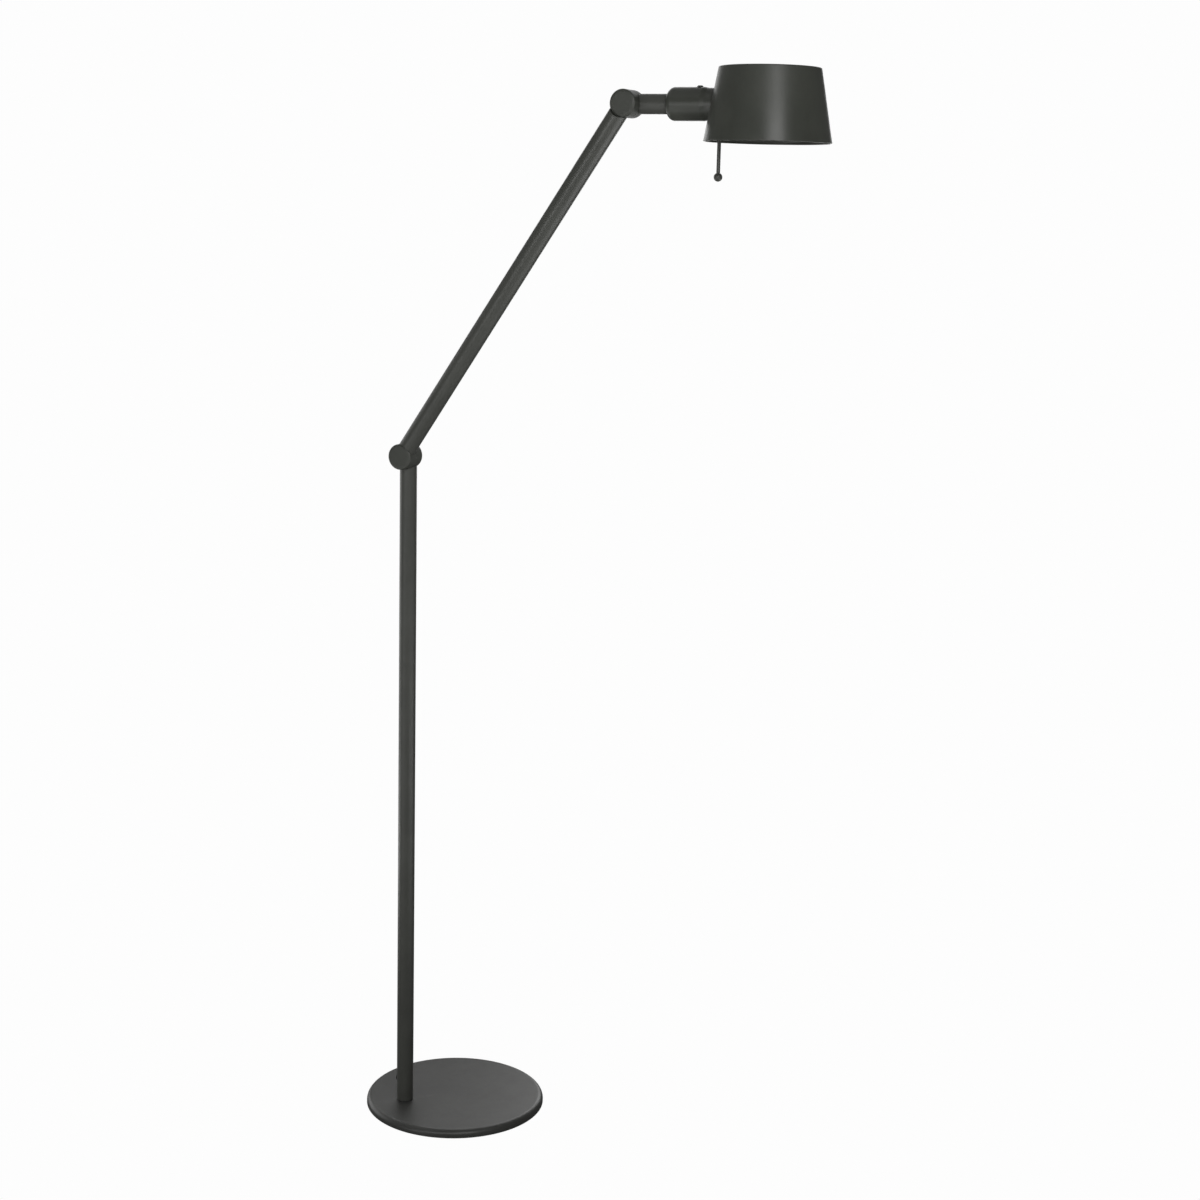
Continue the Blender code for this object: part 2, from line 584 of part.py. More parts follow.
SLEEVE_START = 92.0 * MM
SLEEVE_END = 151.0 * MM
SHADE_HOLE = SLEEVE_RADIUS + GAP
CLAMP_FACE = 134.5 * MM             # the flat that the shade ring pulls against
RING_GRIPS = 8


def cone_radius(height, offset=0.0):
    """The shade's outer radius at a height from its middle, moved outwards by the offset."""
    share = 0.5 - height / SHADE_HEIGHT
    lean = sqrt(1 + ((SHADE_BOTTOM_RADIUS - SHADE_TOP_RADIUS) / SHADE_HEIGHT) ** 2)
    return SHADE_TOP_RADIUS + (SHADE_BOTTOM_RADIUS - SHADE_TOP_RADIUS) * share + offset * lean


def shade_cone(name, offset):
    """A solid cone parallel to the shade's wall, for trimming what meets it."""
    half = SHADE_HEIGHT / 2
    profile = [(0.0, half), (cone_radius(half, offset), half), (cone_radius(-half, offset), -half),
               (0.0, -half)]
    return turned(name, profile, SHADE, steps=WIDE_STEPS)


def build_lampholder():
    bore = 13.8 * MM
    back = 118.0 * MM
    profile = [(SLEEVE_RADIUS - MM, SLEEVE_END), (SLEEVE_RADIUS, SLEEVE_END - MM),
               (SLEEVE_RADIUS, SLEEVE_START), (16.0 * MM, SLEEVE_START), (16.0 * MM, back),
               (bore, back + 2 * MM), (bore, SLEEVE_END)]
    turned("lampholder_sleeve", profile, NECK, BAKELITE, closed=True)
    dome = [(0.0, 116 * MM), (15.6 * MM, 116 * MM), (15.6 * MM, 88 * MM), (12 * MM, 82 * MM),
            (0.0, 82 * MM)]
    dome = turned("lampholder_insert", dome, NECK, PORCELAIN, steps=16)
    entry = Matrix.Translation(UPPER_PIVOT)
    cut(dome, box("insert_entry", (76 * MM, -5 * MM, -5 * MM), (94 * MM, 5 * MM, 5 * MM), entry))
    rod("centre_contact", 3.2 * MM, 116.3 * MM, 118.6 * MM, NECK, BRASS, steps=12, chamfer=0.5 * MM)

    collar = ring("shade_collar", SHADE_HOLE, 20.9 * MM, HOUSING_END + GAP, CLAMP_FACE, NECK,
                  POWDER_COAT)
    cut(collar, shade_cone("collar_trim", GAP))
    saddle = ring("shade_saddle", SHADE_HOLE, 25.5 * MM, 100 * MM, CLAMP_FACE, NECK, NYLON)
    trim = box("saddle_block", (100 * MM, -40 * MM, -40 * MM), (150 * MM, 40 * MM, 40 * MM), entry)
    cut(trim, shade_cone("saddle_trim", -SHADE_WALL - GAP))
    cut(saddle, trim, box("saddle_notch", (SWITCH_LOW - GAP, -7.4 * MM, -40 * MM),
                          (150 * MM, 7.4 * MM, 0), entry))
    nut = ring("shade_ring", SHADE_HOLE, 25.5 * MM, CLAMP_FACE + GAP, CLAMP_FACE + 5.3 * MM, NECK,
               BAKELITE)
    for i in range(RING_GRIPS):
        grip = NECK @ Matrix.Rotation((i + 0.5) * 2 * pi / RING_GRIPS, 4, "Z")
        grip = grip @ Matrix.Translation((26.2 * MM, 0, 0))
        cut(nut, rod("grip_%d" % i, 1.6 * MM, 130 * MM, 145 * MM, grip, steps=8))


def build_shade():
    half = SHADE_HEIGHT / 2
    corner = cone_radius(half - SHADE_EDGE)
    top = [(0.0, half)] + rounded(corner, SHADE_EDGE, half, 1, 2)
    inner_top = half - SHADE_WALL
    profile = top + [(SHADE_BOTTOM_RADIUS, -half), (SHADE_BOTTOM_RADIUS - SHADE_WALL, -half)]
    profile += [(corner - SHADE_WALL, half - SHADE_EDGE),
                (corner - SHADE_EDGE, inner_top), (0.0, inner_top)]
    shade = turned("shade", profile, SHADE, POWDER_COAT, steps=WIDE_STEPS)
    cut(shade, rod("shade_opening", SHADE_HOLE + 0.2 * MM, 100 * MM, 150 * MM, NECK, steps=STEPS))


def build_bulb():
    cap = [(0.0, 119.0 * MM), (3.0 * MM, 119.0 * MM), (4.0 * MM, 120.0 * MM), (9.0 * MM, 122 * MM),
           (13.2 * MM, 125 * MM), (13.2 * MM, 150 * MM), (0.0, 150 * MM)]
    turned("bulb_cap", list(reversed(cap)), NECK, BRIGHT_STEEL, steps=16)
    body = [(0.0, 178 * MM), (26.5 * MM, 178 * MM), (25.5 * MM, 170 * MM), (18.5 * MM, 158 * MM),
            (14.5 * MM, 152.5 * MM), (13.4 * MM, 150.3 * MM), (0.0, 150.3 * MM)]
    turned("bulb_body", body, NECK, PORCELAIN, steps=20)
    radius = 30.0 * MM
    middle = 194.0 * MM
    low = -asin((middle - 178.3 * MM) / radius)
    globe = []
    for i in range(6):
        turn = pi / 2 + (low - pi / 2) * i / 5
        globe.append((radius * cos(turn), middle + radius * sin(turn)))
    inner = radius - 1.2 * MM
    for i in range(5, -1, -1):
        turn = pi / 2 + (low - pi / 2) * i / 5
        globe.append((inner * cos(turn), middle + inner * sin(turn)))
    turned("bulb_globe", globe, NECK, OPAL, steps=20)


# ---------------------------------------------------------------- pull switch
SWITCH_HALF = 4.5 * MM
SWITCH_LOW = ROD_OFFSET - SWITCH_HALF
SWITCH_HIGH = ROD_OFFSET + SWITCH_HALF
SWITCH_BOTTOM = 34.0 * MM           # below the neck's axis
PIN_DROP = 38.0 * MM                # the rod's hinge, below the neck's axis
SWITCH_FLOOR = 1.6 * MM
PLUNGER_LOW = SLEEVE_RADIUS + 4.2 * MM
STEM_RADIUS = 0.95 * MM
EYE_HALF = 0.9 * MM
SPRING_WIRE = 0.3 * MM


def build_switch():
    down = frame(UPPER_PIVOT + Vector((ROD_OFFSET, 0, 0)), (0, 0, -1), (1, 0, 0))
    entry = Matrix.Translation(UPPER_PIVOT)
    body = box("switch_body", (SWITCH_LOW, -6.5 * MM, -SWITCH_BOTTOM),
               (SWITCH_HIGH, 6.5 * MM, -SLEEVE_RADIUS + 3 * MM), entry, BAKELITE)
    cut(body, rod("switch_saddle", SLEEVE_RADIUS + GAP, 110 * MM, 150 * MM, NECK, steps=STEPS),
        rod("switch_chamber", 3.4 * MM, 10 * MM, SWITCH_BOTTOM - SWITCH_FLOOR, down),
        rod("switch_bore", STEM_RADIUS + GAP, 10 * MM, 50 * MM, down))

    plunger = turned("switch_plunger",
                     [(0.0, PIN_DROP - 1.6 * MM), (STEM_RADIUS, PIN_DROP - 1.6 * MM),
                      (STEM_RADIUS, PLUNGER_LOW), (2.9 * MM, PLUNGER_LOW),
                      (2.9 * MM, PLUNGER_LOW - 1.2 * MM), (0.0, PLUNGER_LOW - 1.2 * MM)],
                     down, BRIGHT_STEEL, steps=12)
    eye = frame(UPPER_PIVOT + Vector((ROD_OFFSET, 0, -PIN_DROP)), (0, 1, 0), (1, 0, 0))
    join(plunger, rod("plunger_eye", 2.3 * MM, -EYE_HALF, EYE_HALF, eye))
    cut(plunger, rod("plunger_eye_hole", 0.7 * MM + GAP, -5 * MM, 5 * MM, eye, steps=12))

    rod("rod_pin", 0.7 * MM, -2.3 * MM, 2.3 * MM, eye, BRIGHT_STEEL, steps=12)

    coil = []
    turns = 5
    per_turn = 8
    spring_low = SWITCH_BOTTOM - SWITCH_FLOOR - GAP - SPRING_WIRE
    spring_high = PLUNGER_LOW + GAP + SPRING_WIRE
    for i in range(turns * per_turn + 1):
        turn = 2 * pi * i / per_turn
        drop = spring_low + (spring_high - spring_low) * i / (turns * per_turn)
        coil.append(UPPER_PIVOT + Vector((ROD_OFFSET + 2.4 * MM * cos(turn),
                                          2.4 * MM * sin(turn), -drop)))
    wire("switch_spring", coil, SPRING_WIRE, SPRING_STEEL, resolution=1)


def build_pull_rod():
    """A rod with a forked top that hangs from the plunger's pin."""
    down = frame(UPPER_PIVOT + Vector((ROD_OFFSET, 0, 0)), (0, 0, -1), (1, 0, 0))
    eye = frame(UPPER_PIVOT + Vector((ROD_OFFSET, 0, -PIN_DROP)), (0, 1, 0), (1, 0, 0))
    fork = PIN_DROP + 3.0 * MM
    end = BALL_DROP - BALL_RADIUS + 0.8 * MM
    pull = rod("pull_rod", ROD_RADIUS, PIN_DROP - 1.6 * MM, end, down, POWDER_COAT, chamfer=0.4 * MM)
    cut(pull, box("rod_fork", (-5 * MM, -EYE_HALF - GAP, PIN_DROP - 9 * MM), (5 * MM, EYE_HALF + GAP, fork),
                  down),
        rod("rod_pin_hole", 0.7 * MM + GAP, -5 * MM, 5 * MM, eye, steps=12))

    ball = []
    bore = ROD_RADIUS + 0.2 * MM
    first = asin(bore / BALL_RADIUS)
    for i in range(7):
        turn = pi - (pi - first) * i / 6
        ball.append((BALL_RADIUS * sin(turn), BALL_DROP - BALL_RADIUS * cos(turn)))
    ball[0] = (0.0, BALL_DROP + BALL_RADIUS)
    ball += [(bore, BALL_DROP - BALL_RADIUS + 1.1 * MM), (0.0, BALL_DROP - BALL_RADIUS + 1.1 * MM)]
    turned("pull_ball", ball, down, POWDER_COAT, steps=16)


# ---------------------------------------------------------------- internal lead
def half_lead(place, run_out):
    """Points from a pivot's middle, along its spindle, and into the tube of that half."""
    local = [(0, 0, 0.2), (0, 0, 4), (0.1, 0, 7.6), (1.6, 0, 10.9), (5.2, 0, 12.4),
             (9.8, 0, 11.3), (15, 0, 9.6), (run_out, 0, 9.2)]
    return [place @ (Vector(point) * MM) for point in local]


def build_leads():
    pole = half_lead(POLE_HALF, 60)
    low = Vector((POLE_X, POLE_Y, INLET_HEIGHT))
    pole += [low + Vector((0, 0, 300 * MM)), low + Vector((0, 0, 40 * MM)),
             low + Vector((-1.5 * MM, 0, 14 * MM)), low + Vector((-5.0 * MM, 0, 3 * MM)),
             low + Vector((-9.0 * MM, 0, 0)), low + Vector((-12.0 * MM, 0, 0))]
    wire("pole_lead", smooth_path(pole, 3), LEAD_RADIUS, LEAD_COAT, resolution=1)
    arm = half_lead(ARM_LOWER_HALF, 60) + list(reversed(half_lead(ARM_UPPER_HALF, 60)))
    wire("arm_lead", smooth_path(arm, 3), LEAD_RADIUS, LEAD_COAT, resolution=1)
    neck = half_lead(NECK_HALF, 26) + [UPPER_PIVOT + Vector((x * MM, 0, 0)) for x in (36, 50, 65)]
    wire("neck_lead", smooth_path(neck, 3), LEAD_RADIUS, LEAD_COAT, resolution=1)
    head = [UPPER_PIVOT + Vector((x * MM, 0, 0)) for x in (65.5, 70, 76, 81)]
    wire("head_lead", head, LEAD_RADIUS, LEAD_COAT, resolution=1)


build_base()
build_foot_hardware()
build_inlet_grommet()
build_tubes()
build_knuckles()
build_neck_end()
build_housing()
build_lampholder()
build_shade()
build_bulb()
build_switch()
build_pull_rod()
build_leads()
for piece in LAMP.objects:
    if piece.type == "MESH":
        smooth(piece)
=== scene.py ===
"""Looks for the adjustable arm floor lamp: fine powder-coated tubes, knuckles, base and shade,
the lampholder and lamp inside the shade, the felt underside, and plain white surroundings.

Units are metres, +Z up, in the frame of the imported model.
"""

import json
from math import acos, asin, ceil, cos, degrees, pi, radians, sin, sqrt, tan

import bmesh
import bpy
from mathutils import Matrix, Vector


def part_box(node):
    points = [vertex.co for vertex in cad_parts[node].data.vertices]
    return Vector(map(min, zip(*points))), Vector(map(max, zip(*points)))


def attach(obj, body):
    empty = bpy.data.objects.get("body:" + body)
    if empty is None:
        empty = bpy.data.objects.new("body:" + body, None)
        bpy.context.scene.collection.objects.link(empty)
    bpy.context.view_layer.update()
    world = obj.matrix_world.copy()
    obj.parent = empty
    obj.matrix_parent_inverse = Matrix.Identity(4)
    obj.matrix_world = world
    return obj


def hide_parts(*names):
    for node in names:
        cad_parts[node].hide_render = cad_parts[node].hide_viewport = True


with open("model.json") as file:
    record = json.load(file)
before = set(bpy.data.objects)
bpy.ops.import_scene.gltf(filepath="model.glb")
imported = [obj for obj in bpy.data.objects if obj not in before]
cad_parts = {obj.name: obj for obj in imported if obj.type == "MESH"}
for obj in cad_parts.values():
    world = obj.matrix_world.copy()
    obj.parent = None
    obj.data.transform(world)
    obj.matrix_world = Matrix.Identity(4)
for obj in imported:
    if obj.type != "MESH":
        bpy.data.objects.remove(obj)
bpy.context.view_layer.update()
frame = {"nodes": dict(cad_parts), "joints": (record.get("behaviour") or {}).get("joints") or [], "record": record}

# ---------------------------------------------------------------- places, from the frame
MM = 0.001
GAP = 0.3 * MM
JOINTS = {joint["name"]: joint for joint in frame["joints"]}


def middle(node):
    low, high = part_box(node)
    return (low + high) / 2


def size(node):
    low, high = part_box(node)
    return high - low


LOWER_PIVOT = Vector(JOINTS["lower_elbow"]["pos_m"])        # on the knuckles' mating plane
UPPER_PIVOT = Vector(JOINTS["upper_elbow"]["pos_m"])
ARM_DIRECTION = (UPPER_PIVOT - LOWER_PIVOT).normalized()
ARM_LENGTH = (UPPER_PIVOT - LOWER_PIVOT).length
POLE_FOOT = Vector(JOINTS["pole_swivel"]["pos_m"])

BASE_RADIUS = size("base_cover").x / 2
BASE_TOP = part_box("base_cover")[1].z
FELT_RADIUS = size("base_felt").x / 2
FELT_TOP = size("base_felt").z

POLE_RADIUS = size("pole_tube").x / 2
POLE_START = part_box("pole_tube")[0].z
ARM_RADIUS = size("arm_tube").y / 2
NECK_RADIUS = size("neck_tube").y / 2
NECK_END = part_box("neck_tube")[1].x
NECK_AXIS = Vector((UPPER_PIVOT.x, middle("neck_tube").y, UPPER_PIVOT.z))

DRUM_RADIUS = size("pole_knuckle_cap").x / 2
DRUM_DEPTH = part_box("pole_knuckle_cap")[1].y - LOWER_PIVOT.y
MOUTH_RADIUS = DRUM_RADIUS + GAP

HOUSING_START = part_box("head_housing")[0].x - NECK_AXIS.x
HOUSING_RADIUS = size("head_housing").y / 2
COLLAR_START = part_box("shade_collar")[0].x - NECK_AXIS.x
COLLAR_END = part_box("shade_collar")[1].x - NECK_AXIS.x
COLLAR_RADIUS = size("shade_collar").y / 2
SLEEVE_START, SLEEVE_END = (corner.x - NECK_AXIS.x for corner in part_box("lampholder_sleeve"))
SLEEVE_RADIUS = size("lampholder_sleeve").y / 2
RING_START, RING_END = (corner.x - NECK_AXIS.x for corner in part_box("shade_ring"))
RING_RADIUS = size("shade_ring").y / 2

SHADE_MIDDLE = middle("shade")
SHADE_HEIGHT = size("shade").z
SHADE_BOTTOM_RADIUS = size("shade").y / 2
SHADE_TOP_RADIUS = SHADE_BOTTOM_RADIUS - 17.5 * MM

# ---------------------------------------------------------------- details of the finished parts
TUBE_WALL = 1.5 * MM
COVER_WALL = 1.5 * MM
COVER_EDGE = 8.0 * MM               # rounding of the base's rim
WEIGHT_CHAMFER = 5.0 * MM
RIM_LOW = 0.3 * MM                  # the rim's lower edge, just clear of the floor
CROWN_WIDTH = 5.0 * MM              # a drum's outer face falls off to its edge over this width
CROWN_DEPTH = 2.2 * MM
DRUM_SHELL = 2.5 * MM
DRUM_SEAM = 15.85 * MM              # the cup ends and the cap starts here, from the mating plane
HOUSING_WALL = 1.5 * MM
HOUSING_SHOULDER = 9.0 * MM
SHADE_WALL = 1.0 * MM
SHADE_EDGE = 1.4 * MM
SHADE_HEM = 0.9 * MM                # radius of the bead that is rolled inwards at the rim
HEM_EDGE = 0.45 * MM
SPINDLE_HOLE = 5.3 * MM
LIP = 0.35 * MM                     # rounding of a cut tube's edges
INLET_HOLE = 4.2 * MM               # radius, in the pole
SLIVER = 0.003 * MM                 # what is smaller is closed up after a cut
WELD = 1e-7                         # vertices closer than this are one
ON_AXIS = 1e-6                      # a smaller radius is a point on the axis

# ---------------------------------------------------------------- shapes


def place_at(origin, z_axis, x_axis):
    """A frame whose local Z and X lie along the given directions."""
    z_dir = Vector(z_axis).normalized()
    x_dir = Vector(x_axis).normalized()
    turn = Matrix((x_dir, z_dir.cross(x_dir), z_dir)).transposed().to_4x4()
    return Matrix.Translation(origin) @ turn


UPRIGHT = Matrix.Identity(4)
NECK = place_at(NECK_AXIS, (1, 0, 0), (0, 0, 1))
SHADE = Matrix.Translation(SHADE_MIDDLE)


def softened(corners, closed, step=radians(12)):
    """An outline's points, with each corner (radius, height, rounding) turned into an arc."""
    count = len(corners)
    points = []
    for i, (radius, height, rounding) in enumerate(corners):
        here = Vector((radius, height))
        if rounding == 0.0 or (not closed and i in (0, count - 1)):
            points.append(here)
            continue
        before = (Vector(corners[i - 1][:2]) - here).normalized()
        after = (Vector(corners[(i + 1) % count][:2]) - here).normalized()
        inside = acos(max(-1.0, min(1.0, before.dot(after))))
        reach = rounding / tan(inside / 2)
        centre = here + (before + after).normalized() * (rounding / sin(inside / 2))
        start = here + before * reach - centre
        sweep = start.angle_signed(here + after * reach - centre)
        pieces = max(2, ceil(abs(sweep) / step))
        for k in range(pieces + 1):
            points.append(centre + Matrix.Rotation(-sweep * k / pieces, 2) @ start)
    return points


def mesh_object(name, work, place):
    """A new object, at a place, from a finished bmesh."""
    bmesh.ops.remove_doubles(work, verts=work.verts, dist=WELD)
    bmesh.ops.recalc_face_normals(work, faces=work.faces)
    mesh = bpy.data.meshes.new(name)
    work.to_mesh(mesh)
    work.free()
    made = bpy.data.objects.new(name, mesh)
    made.matrix_world = place
    bpy.context.scene.collection.objects.link(made)
    return made


def skin(work, rings, closed):
    """Join rings of vertices, each a full circle or one point on the axis, into faces."""
    pairs = list(zip(rings, rings[1:]))
    if closed:
        pairs.append((rings[-1], rings[0]))
    for first, second in pairs:
        if len(first) == 1 and len(second) == 1:
            continue
        steps = max(len(first), len(second))
        for k in range(steps):
            after = (k + 1) % steps
            if len(first) == 1:
                work.faces.new((first[0], second[after], second[k]))
            elif len(second) == 1:
                work.faces.new((first[k], first[after], second[0]))
            else:
                work.faces.new((first[k], first[after], second[after], second[k]))


def lathe(name, corners, place=UPRIGHT, closed=False, steps=128):
    """Turn an outline of (radius, height, rounding) corners about local Z."""
    work = bmesh.new()
    rings = []
    for radius, height in softened(corners, closed):
        if radius < ON_AXIS:
            rings.append([work.verts.new((0.0, 0.0, height))])
            continue
        rings.append([work.verts.new((radius * cos(2 * pi * k / steps),
                                      radius * sin(2 * pi * k / steps), height))
                      for k in range(steps)])
    skin(work, rings, closed)
    return mesh_object(name, work, place)


def rod(name, radius, low, high, place=UPRIGHT, rounding=0.0, steps=64):
    return lathe(name, [(0.0, high, 0), (radius, high, rounding), (radius, low, rounding),
                        (0.0, low, 0)], place, steps=steps)


def ring(name, inner, outer, low, high, place=UPRIGHT, rounding=0.2 * MM, steps=128):
    return lathe(name, [(outer, high, rounding), (outer, low, rounding), (inner, low, rounding),
                        (inner, high, rounding)], place, closed=True, steps=steps)


def block(name, low, high, place=UPRIGHT, rounding=0.0):
    work = bmesh.new()
    bmesh.ops.create_cube(work, size=1.0)
    bmesh.ops.scale(work, vec=Vector(high) - Vector(low), verts=work.verts)
    bmesh.ops.translate(work, vec=(Vector(high) + Vector(low)) / 2, verts=work.verts)
    if rounding:
        bmesh.ops.bevel(work, geom=work.edges[:], offset=rounding, segments=4, profile=0.5,
                        affect="EDGES")
    return mesh_object(name, work, place)


def prism(name, outline, low, high, place=UPRIGHT):
    """A flat outline of (x, y) points raised from low to high."""
    work = bmesh.new()
    face = work.faces.new([work.verts.new((x, y, low)) for x, y in outline])
    raised = bmesh.ops.extrude_face_region(work, geom=[face])["geom"]
    tops = [part for part in raised if isinstance(part, bmesh.types.BMVert)]
    bmesh.ops.translate(work, vec=(0, 0, high - low), verts=tops)
    return mesh_object(name, work, place)


def arc(radius, start, end, count):
    """Points on an arc between two angles in degrees."""
    turns = [radians(start + (end - start) * k / count) for k in range(count + 1)]
    return [(radius * cos(turn), radius * sin(turn)) for turn in turns]


def hexagon(radius):
    return arc(radius, 0, 300, 5)


def boolean(made, operation, others):
    """Cut or join pieces exactly, then close up the slivers that this leaves."""
    for other in others:
        step = made.modifiers.new(operation.lower(), "BOOLEAN")
        step.operation = operation
        step.solver = "EXACT"
        step.object = other
    bpy.context.view_layer.update()
    result = bpy.data.meshes.new_from_object(
        made.evaluated_get(bpy.context.evaluated_depsgraph_get()))
    made.modifiers.clear()
    work = bmesh.new()
    work.from_mesh(result)
    bmesh.ops.remove_doubles(work, verts=work.verts, dist=SLIVER)
    bmesh.ops.dissolve_degenerate(work, dist=SLIVER, edges=work.edges)
    work.to_mesh(result)
    work.free()
    made.data = result
    for other in others:
        bpy.data.objects.remove(other, do_unlink=True)
    return made


def cut(made, *cutters):
    return boolean(made, "DIFFERENCE", cutters)


def join(made, *others):
    return boolean(made, "UNION", others)


def finished(made, body, look, replaced=(), sharp=50):
    """Give a piece its material and body, and smooth it except at sharp edges."""
    made.data.materials.clear()
    made.data.materials.append(look)
    made.data.shade_smooth()
    made.data.set_sharp_from_angle(angle=radians(sharp))
    weigh = made.modifiers.new("even_normals", "WEIGHTED_NORMAL")
    weigh.keep_sharp = True
    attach(made, body)
    if replaced:
        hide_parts(*replaced)
    return made


# ---------------------------------------------------------------- material helpers
class Look:
    """A Principled material that is built up from noise in the piece's own coordinates."""

    def __init__(self, name, roughness, metallic=0.0):
        self.material = bpy.data.materials.new(name)
        self.material.use_nodes = True
        self.tree = self.material.node_tree
        self.shader = self.tree.nodes["Principled BSDF"]
        self.shader.inputs["Roughness"].default_value = roughness
        self.shader.inputs["Metallic"].default_value = metallic
        self.coordinates = self.tree.nodes.new("ShaderNodeTexCoord")

    def link(self, source, target):
        self.tree.links.new(source, target)

    def stretched(self, scale):
        """Object coordinates, scaled by a different amount along each axis."""
        node = self.tree.nodes.new("ShaderNodeMapping")
        node.inputs["Scale"].default_value = scale
        self.link(self.coordinates.outputs["Object"], node.inputs["Vector"])
        return node.outputs["Vector"]

    def noise(self, grain, detail=3.0, softness=0.55, vector=None):
        """Noise whose features are about one grain (in metres) across."""
        node = self.tree.nodes.new("ShaderNodeTexNoise")
        node.inputs["Scale"].default_value = 1.0 / grain
        node.inputs["Detail"].default_value = detail
        node.inputs["Roughness"].default_value = softness
        self.link(vector or self.coordinates.outputs["Object"], node.inputs["Vector"])
        return node.outputs["Fac"]

    def spread(self, source, start, end, low=0.0, high=1.0):
        """Map a value from start..end to low..high, clamped."""
        node = self.tree.nodes.new("ShaderNodeMapRange")
        node.interpolation_type = "SMOOTHSTEP"
        for name, value in (("From Min", start), ("From Max", end), ("To Min", low),
                            ("To Max", high)):
            node.inputs[name].default_value = value
        self.link(source, node.inputs["Value"])
        return node.outputs["Result"]

    def math(self, operation, first, second=None):
        node = self.tree.nodes.new("ShaderNodeMath")
        node.operation = operation
        for slot_index, value in enumerate((first, second)):
            if value is None:
                continue
            if isinstance(value, (int, float)):
                node.inputs[slot_index].default_value = value
            else:
                self.link(value, node.inputs[slot_index])
        return node.outputs["Value"]

    def mixed(self, share, first, second):
        """Mix two colours, each a tuple or another node's colour."""
        node = self.tree.nodes.new("ShaderNodeMix")
        node.data_type = "RGBA"
        self.link(share, node.inputs["Factor"])
        for name, value in (("A", first), ("B", second)):
            target = [i for i in node.inputs if i.name == name and i.type == "RGBA"][0]
            if isinstance(value, tuple):
                target.default_value = (*value, 1.0)
            else:
                self.link(value, target)
        return [o for o in node.outputs if o.type == "RGBA"][0]

    def colour(self, source):
        self.link(source, self.shader.inputs["Base Color"])

    def roughness(self, source):
        self.link(source, self.shader.inputs["Roughness"])

    def bumps(self, *layers):
        """Stack bump layers, each a height and how deep it is in metres."""
        last = None
        for height, depth in layers:
            node = self.tree.nodes.new("ShaderNodeBump")
            node.inputs["Strength"].default_value = 1.0
            node.inputs["Distance"].default_value = depth
            self.link(height, node.inputs["Height"])
            if last:
                self.link(last, node.inputs["Normal"])
            last = node.outputs["Normal"]
        self.link(last, self.shader.inputs["Normal"])

    def part_of_normal(self, axis):
        """How far the surface faces along one of the piece's own axes."""
        node = self.tree.nodes.new("ShaderNodeSeparateXYZ")
        self.link(self.coordinates.outputs["Normal"], node.inputs["Vector"])
        return node.outputs[axis]

    def along(self, axis):
        node = self.tree.nodes.new("ShaderNodeSeparateXYZ")
        self.link(self.coordinates.outputs["Object"], node.inputs["Vector"])
        return node.outputs[axis]

    def edges(self, start, end):
        """1 on worn outside edges and 0 elsewhere."""
        node = self.tree.nodes.new("ShaderNodeNewGeometry")
        return self.spread(node.outputs["Pointiness"], start, end)


# ---------------------------------------------------------------- materials
# linear colours
SHADE_TONE = (0.0515, 0.0550, 0.0460)    # cast parts, housing and shade
# the shade's coat painted about 20 percent lighter: painted light standing in for light the studio's lamps don't
# give, not a different coat
TUBE_TONE_PAINTED_LIGHTER = (0.0625, 0.0650, 0.0570)     # pole, arm, neck and pull rod
# the shade's coat painted about 10 percent lighter: painted light standing in for light the studio's lamps don't
# give, not a different coat
BASE_TONE_PAINTED_LIGHTER = (0.0560, 0.0570, 0.0530)
COAT_WORN = (0.105, 0.105, 0.098)
COAT_DUST = (0.115, 0.112, 0.102)
FELT_DARK = (0.018, 0.018, 0.020)
FELT_BLOTCH = (0.030, 0.030, 0.032)
FELT_FIBRE = (0.075, 0.075, 0.078)
IRON_GREY = (0.075, 0.076, 0.078)
IRON_RUST = (0.090, 0.055, 0.036)


CLOUD_SIZE = 70 * MM
CLOUD_DARK, CLOUD_LIGHT = 0.90, 1.06
SPECKLE_SIZE = 0.55 * MM
PATCH_SIZE = 9 * MM
SMUDGE_SIZE = 28 * MM
SMUDGE_SPAN = 0.03                  # in roughness, either side of the mean
LINT_SIZE = 2.2 * MM
RUBBED_WIDTH = 0.9 * MM
PEEL_SIZE, PEEL_DEPTH = 1.9 * MM, 0.024 * MM
GRAIN_SIZE, GRAIN_DEPTH = 0.45 * MM, 0.004 * MM


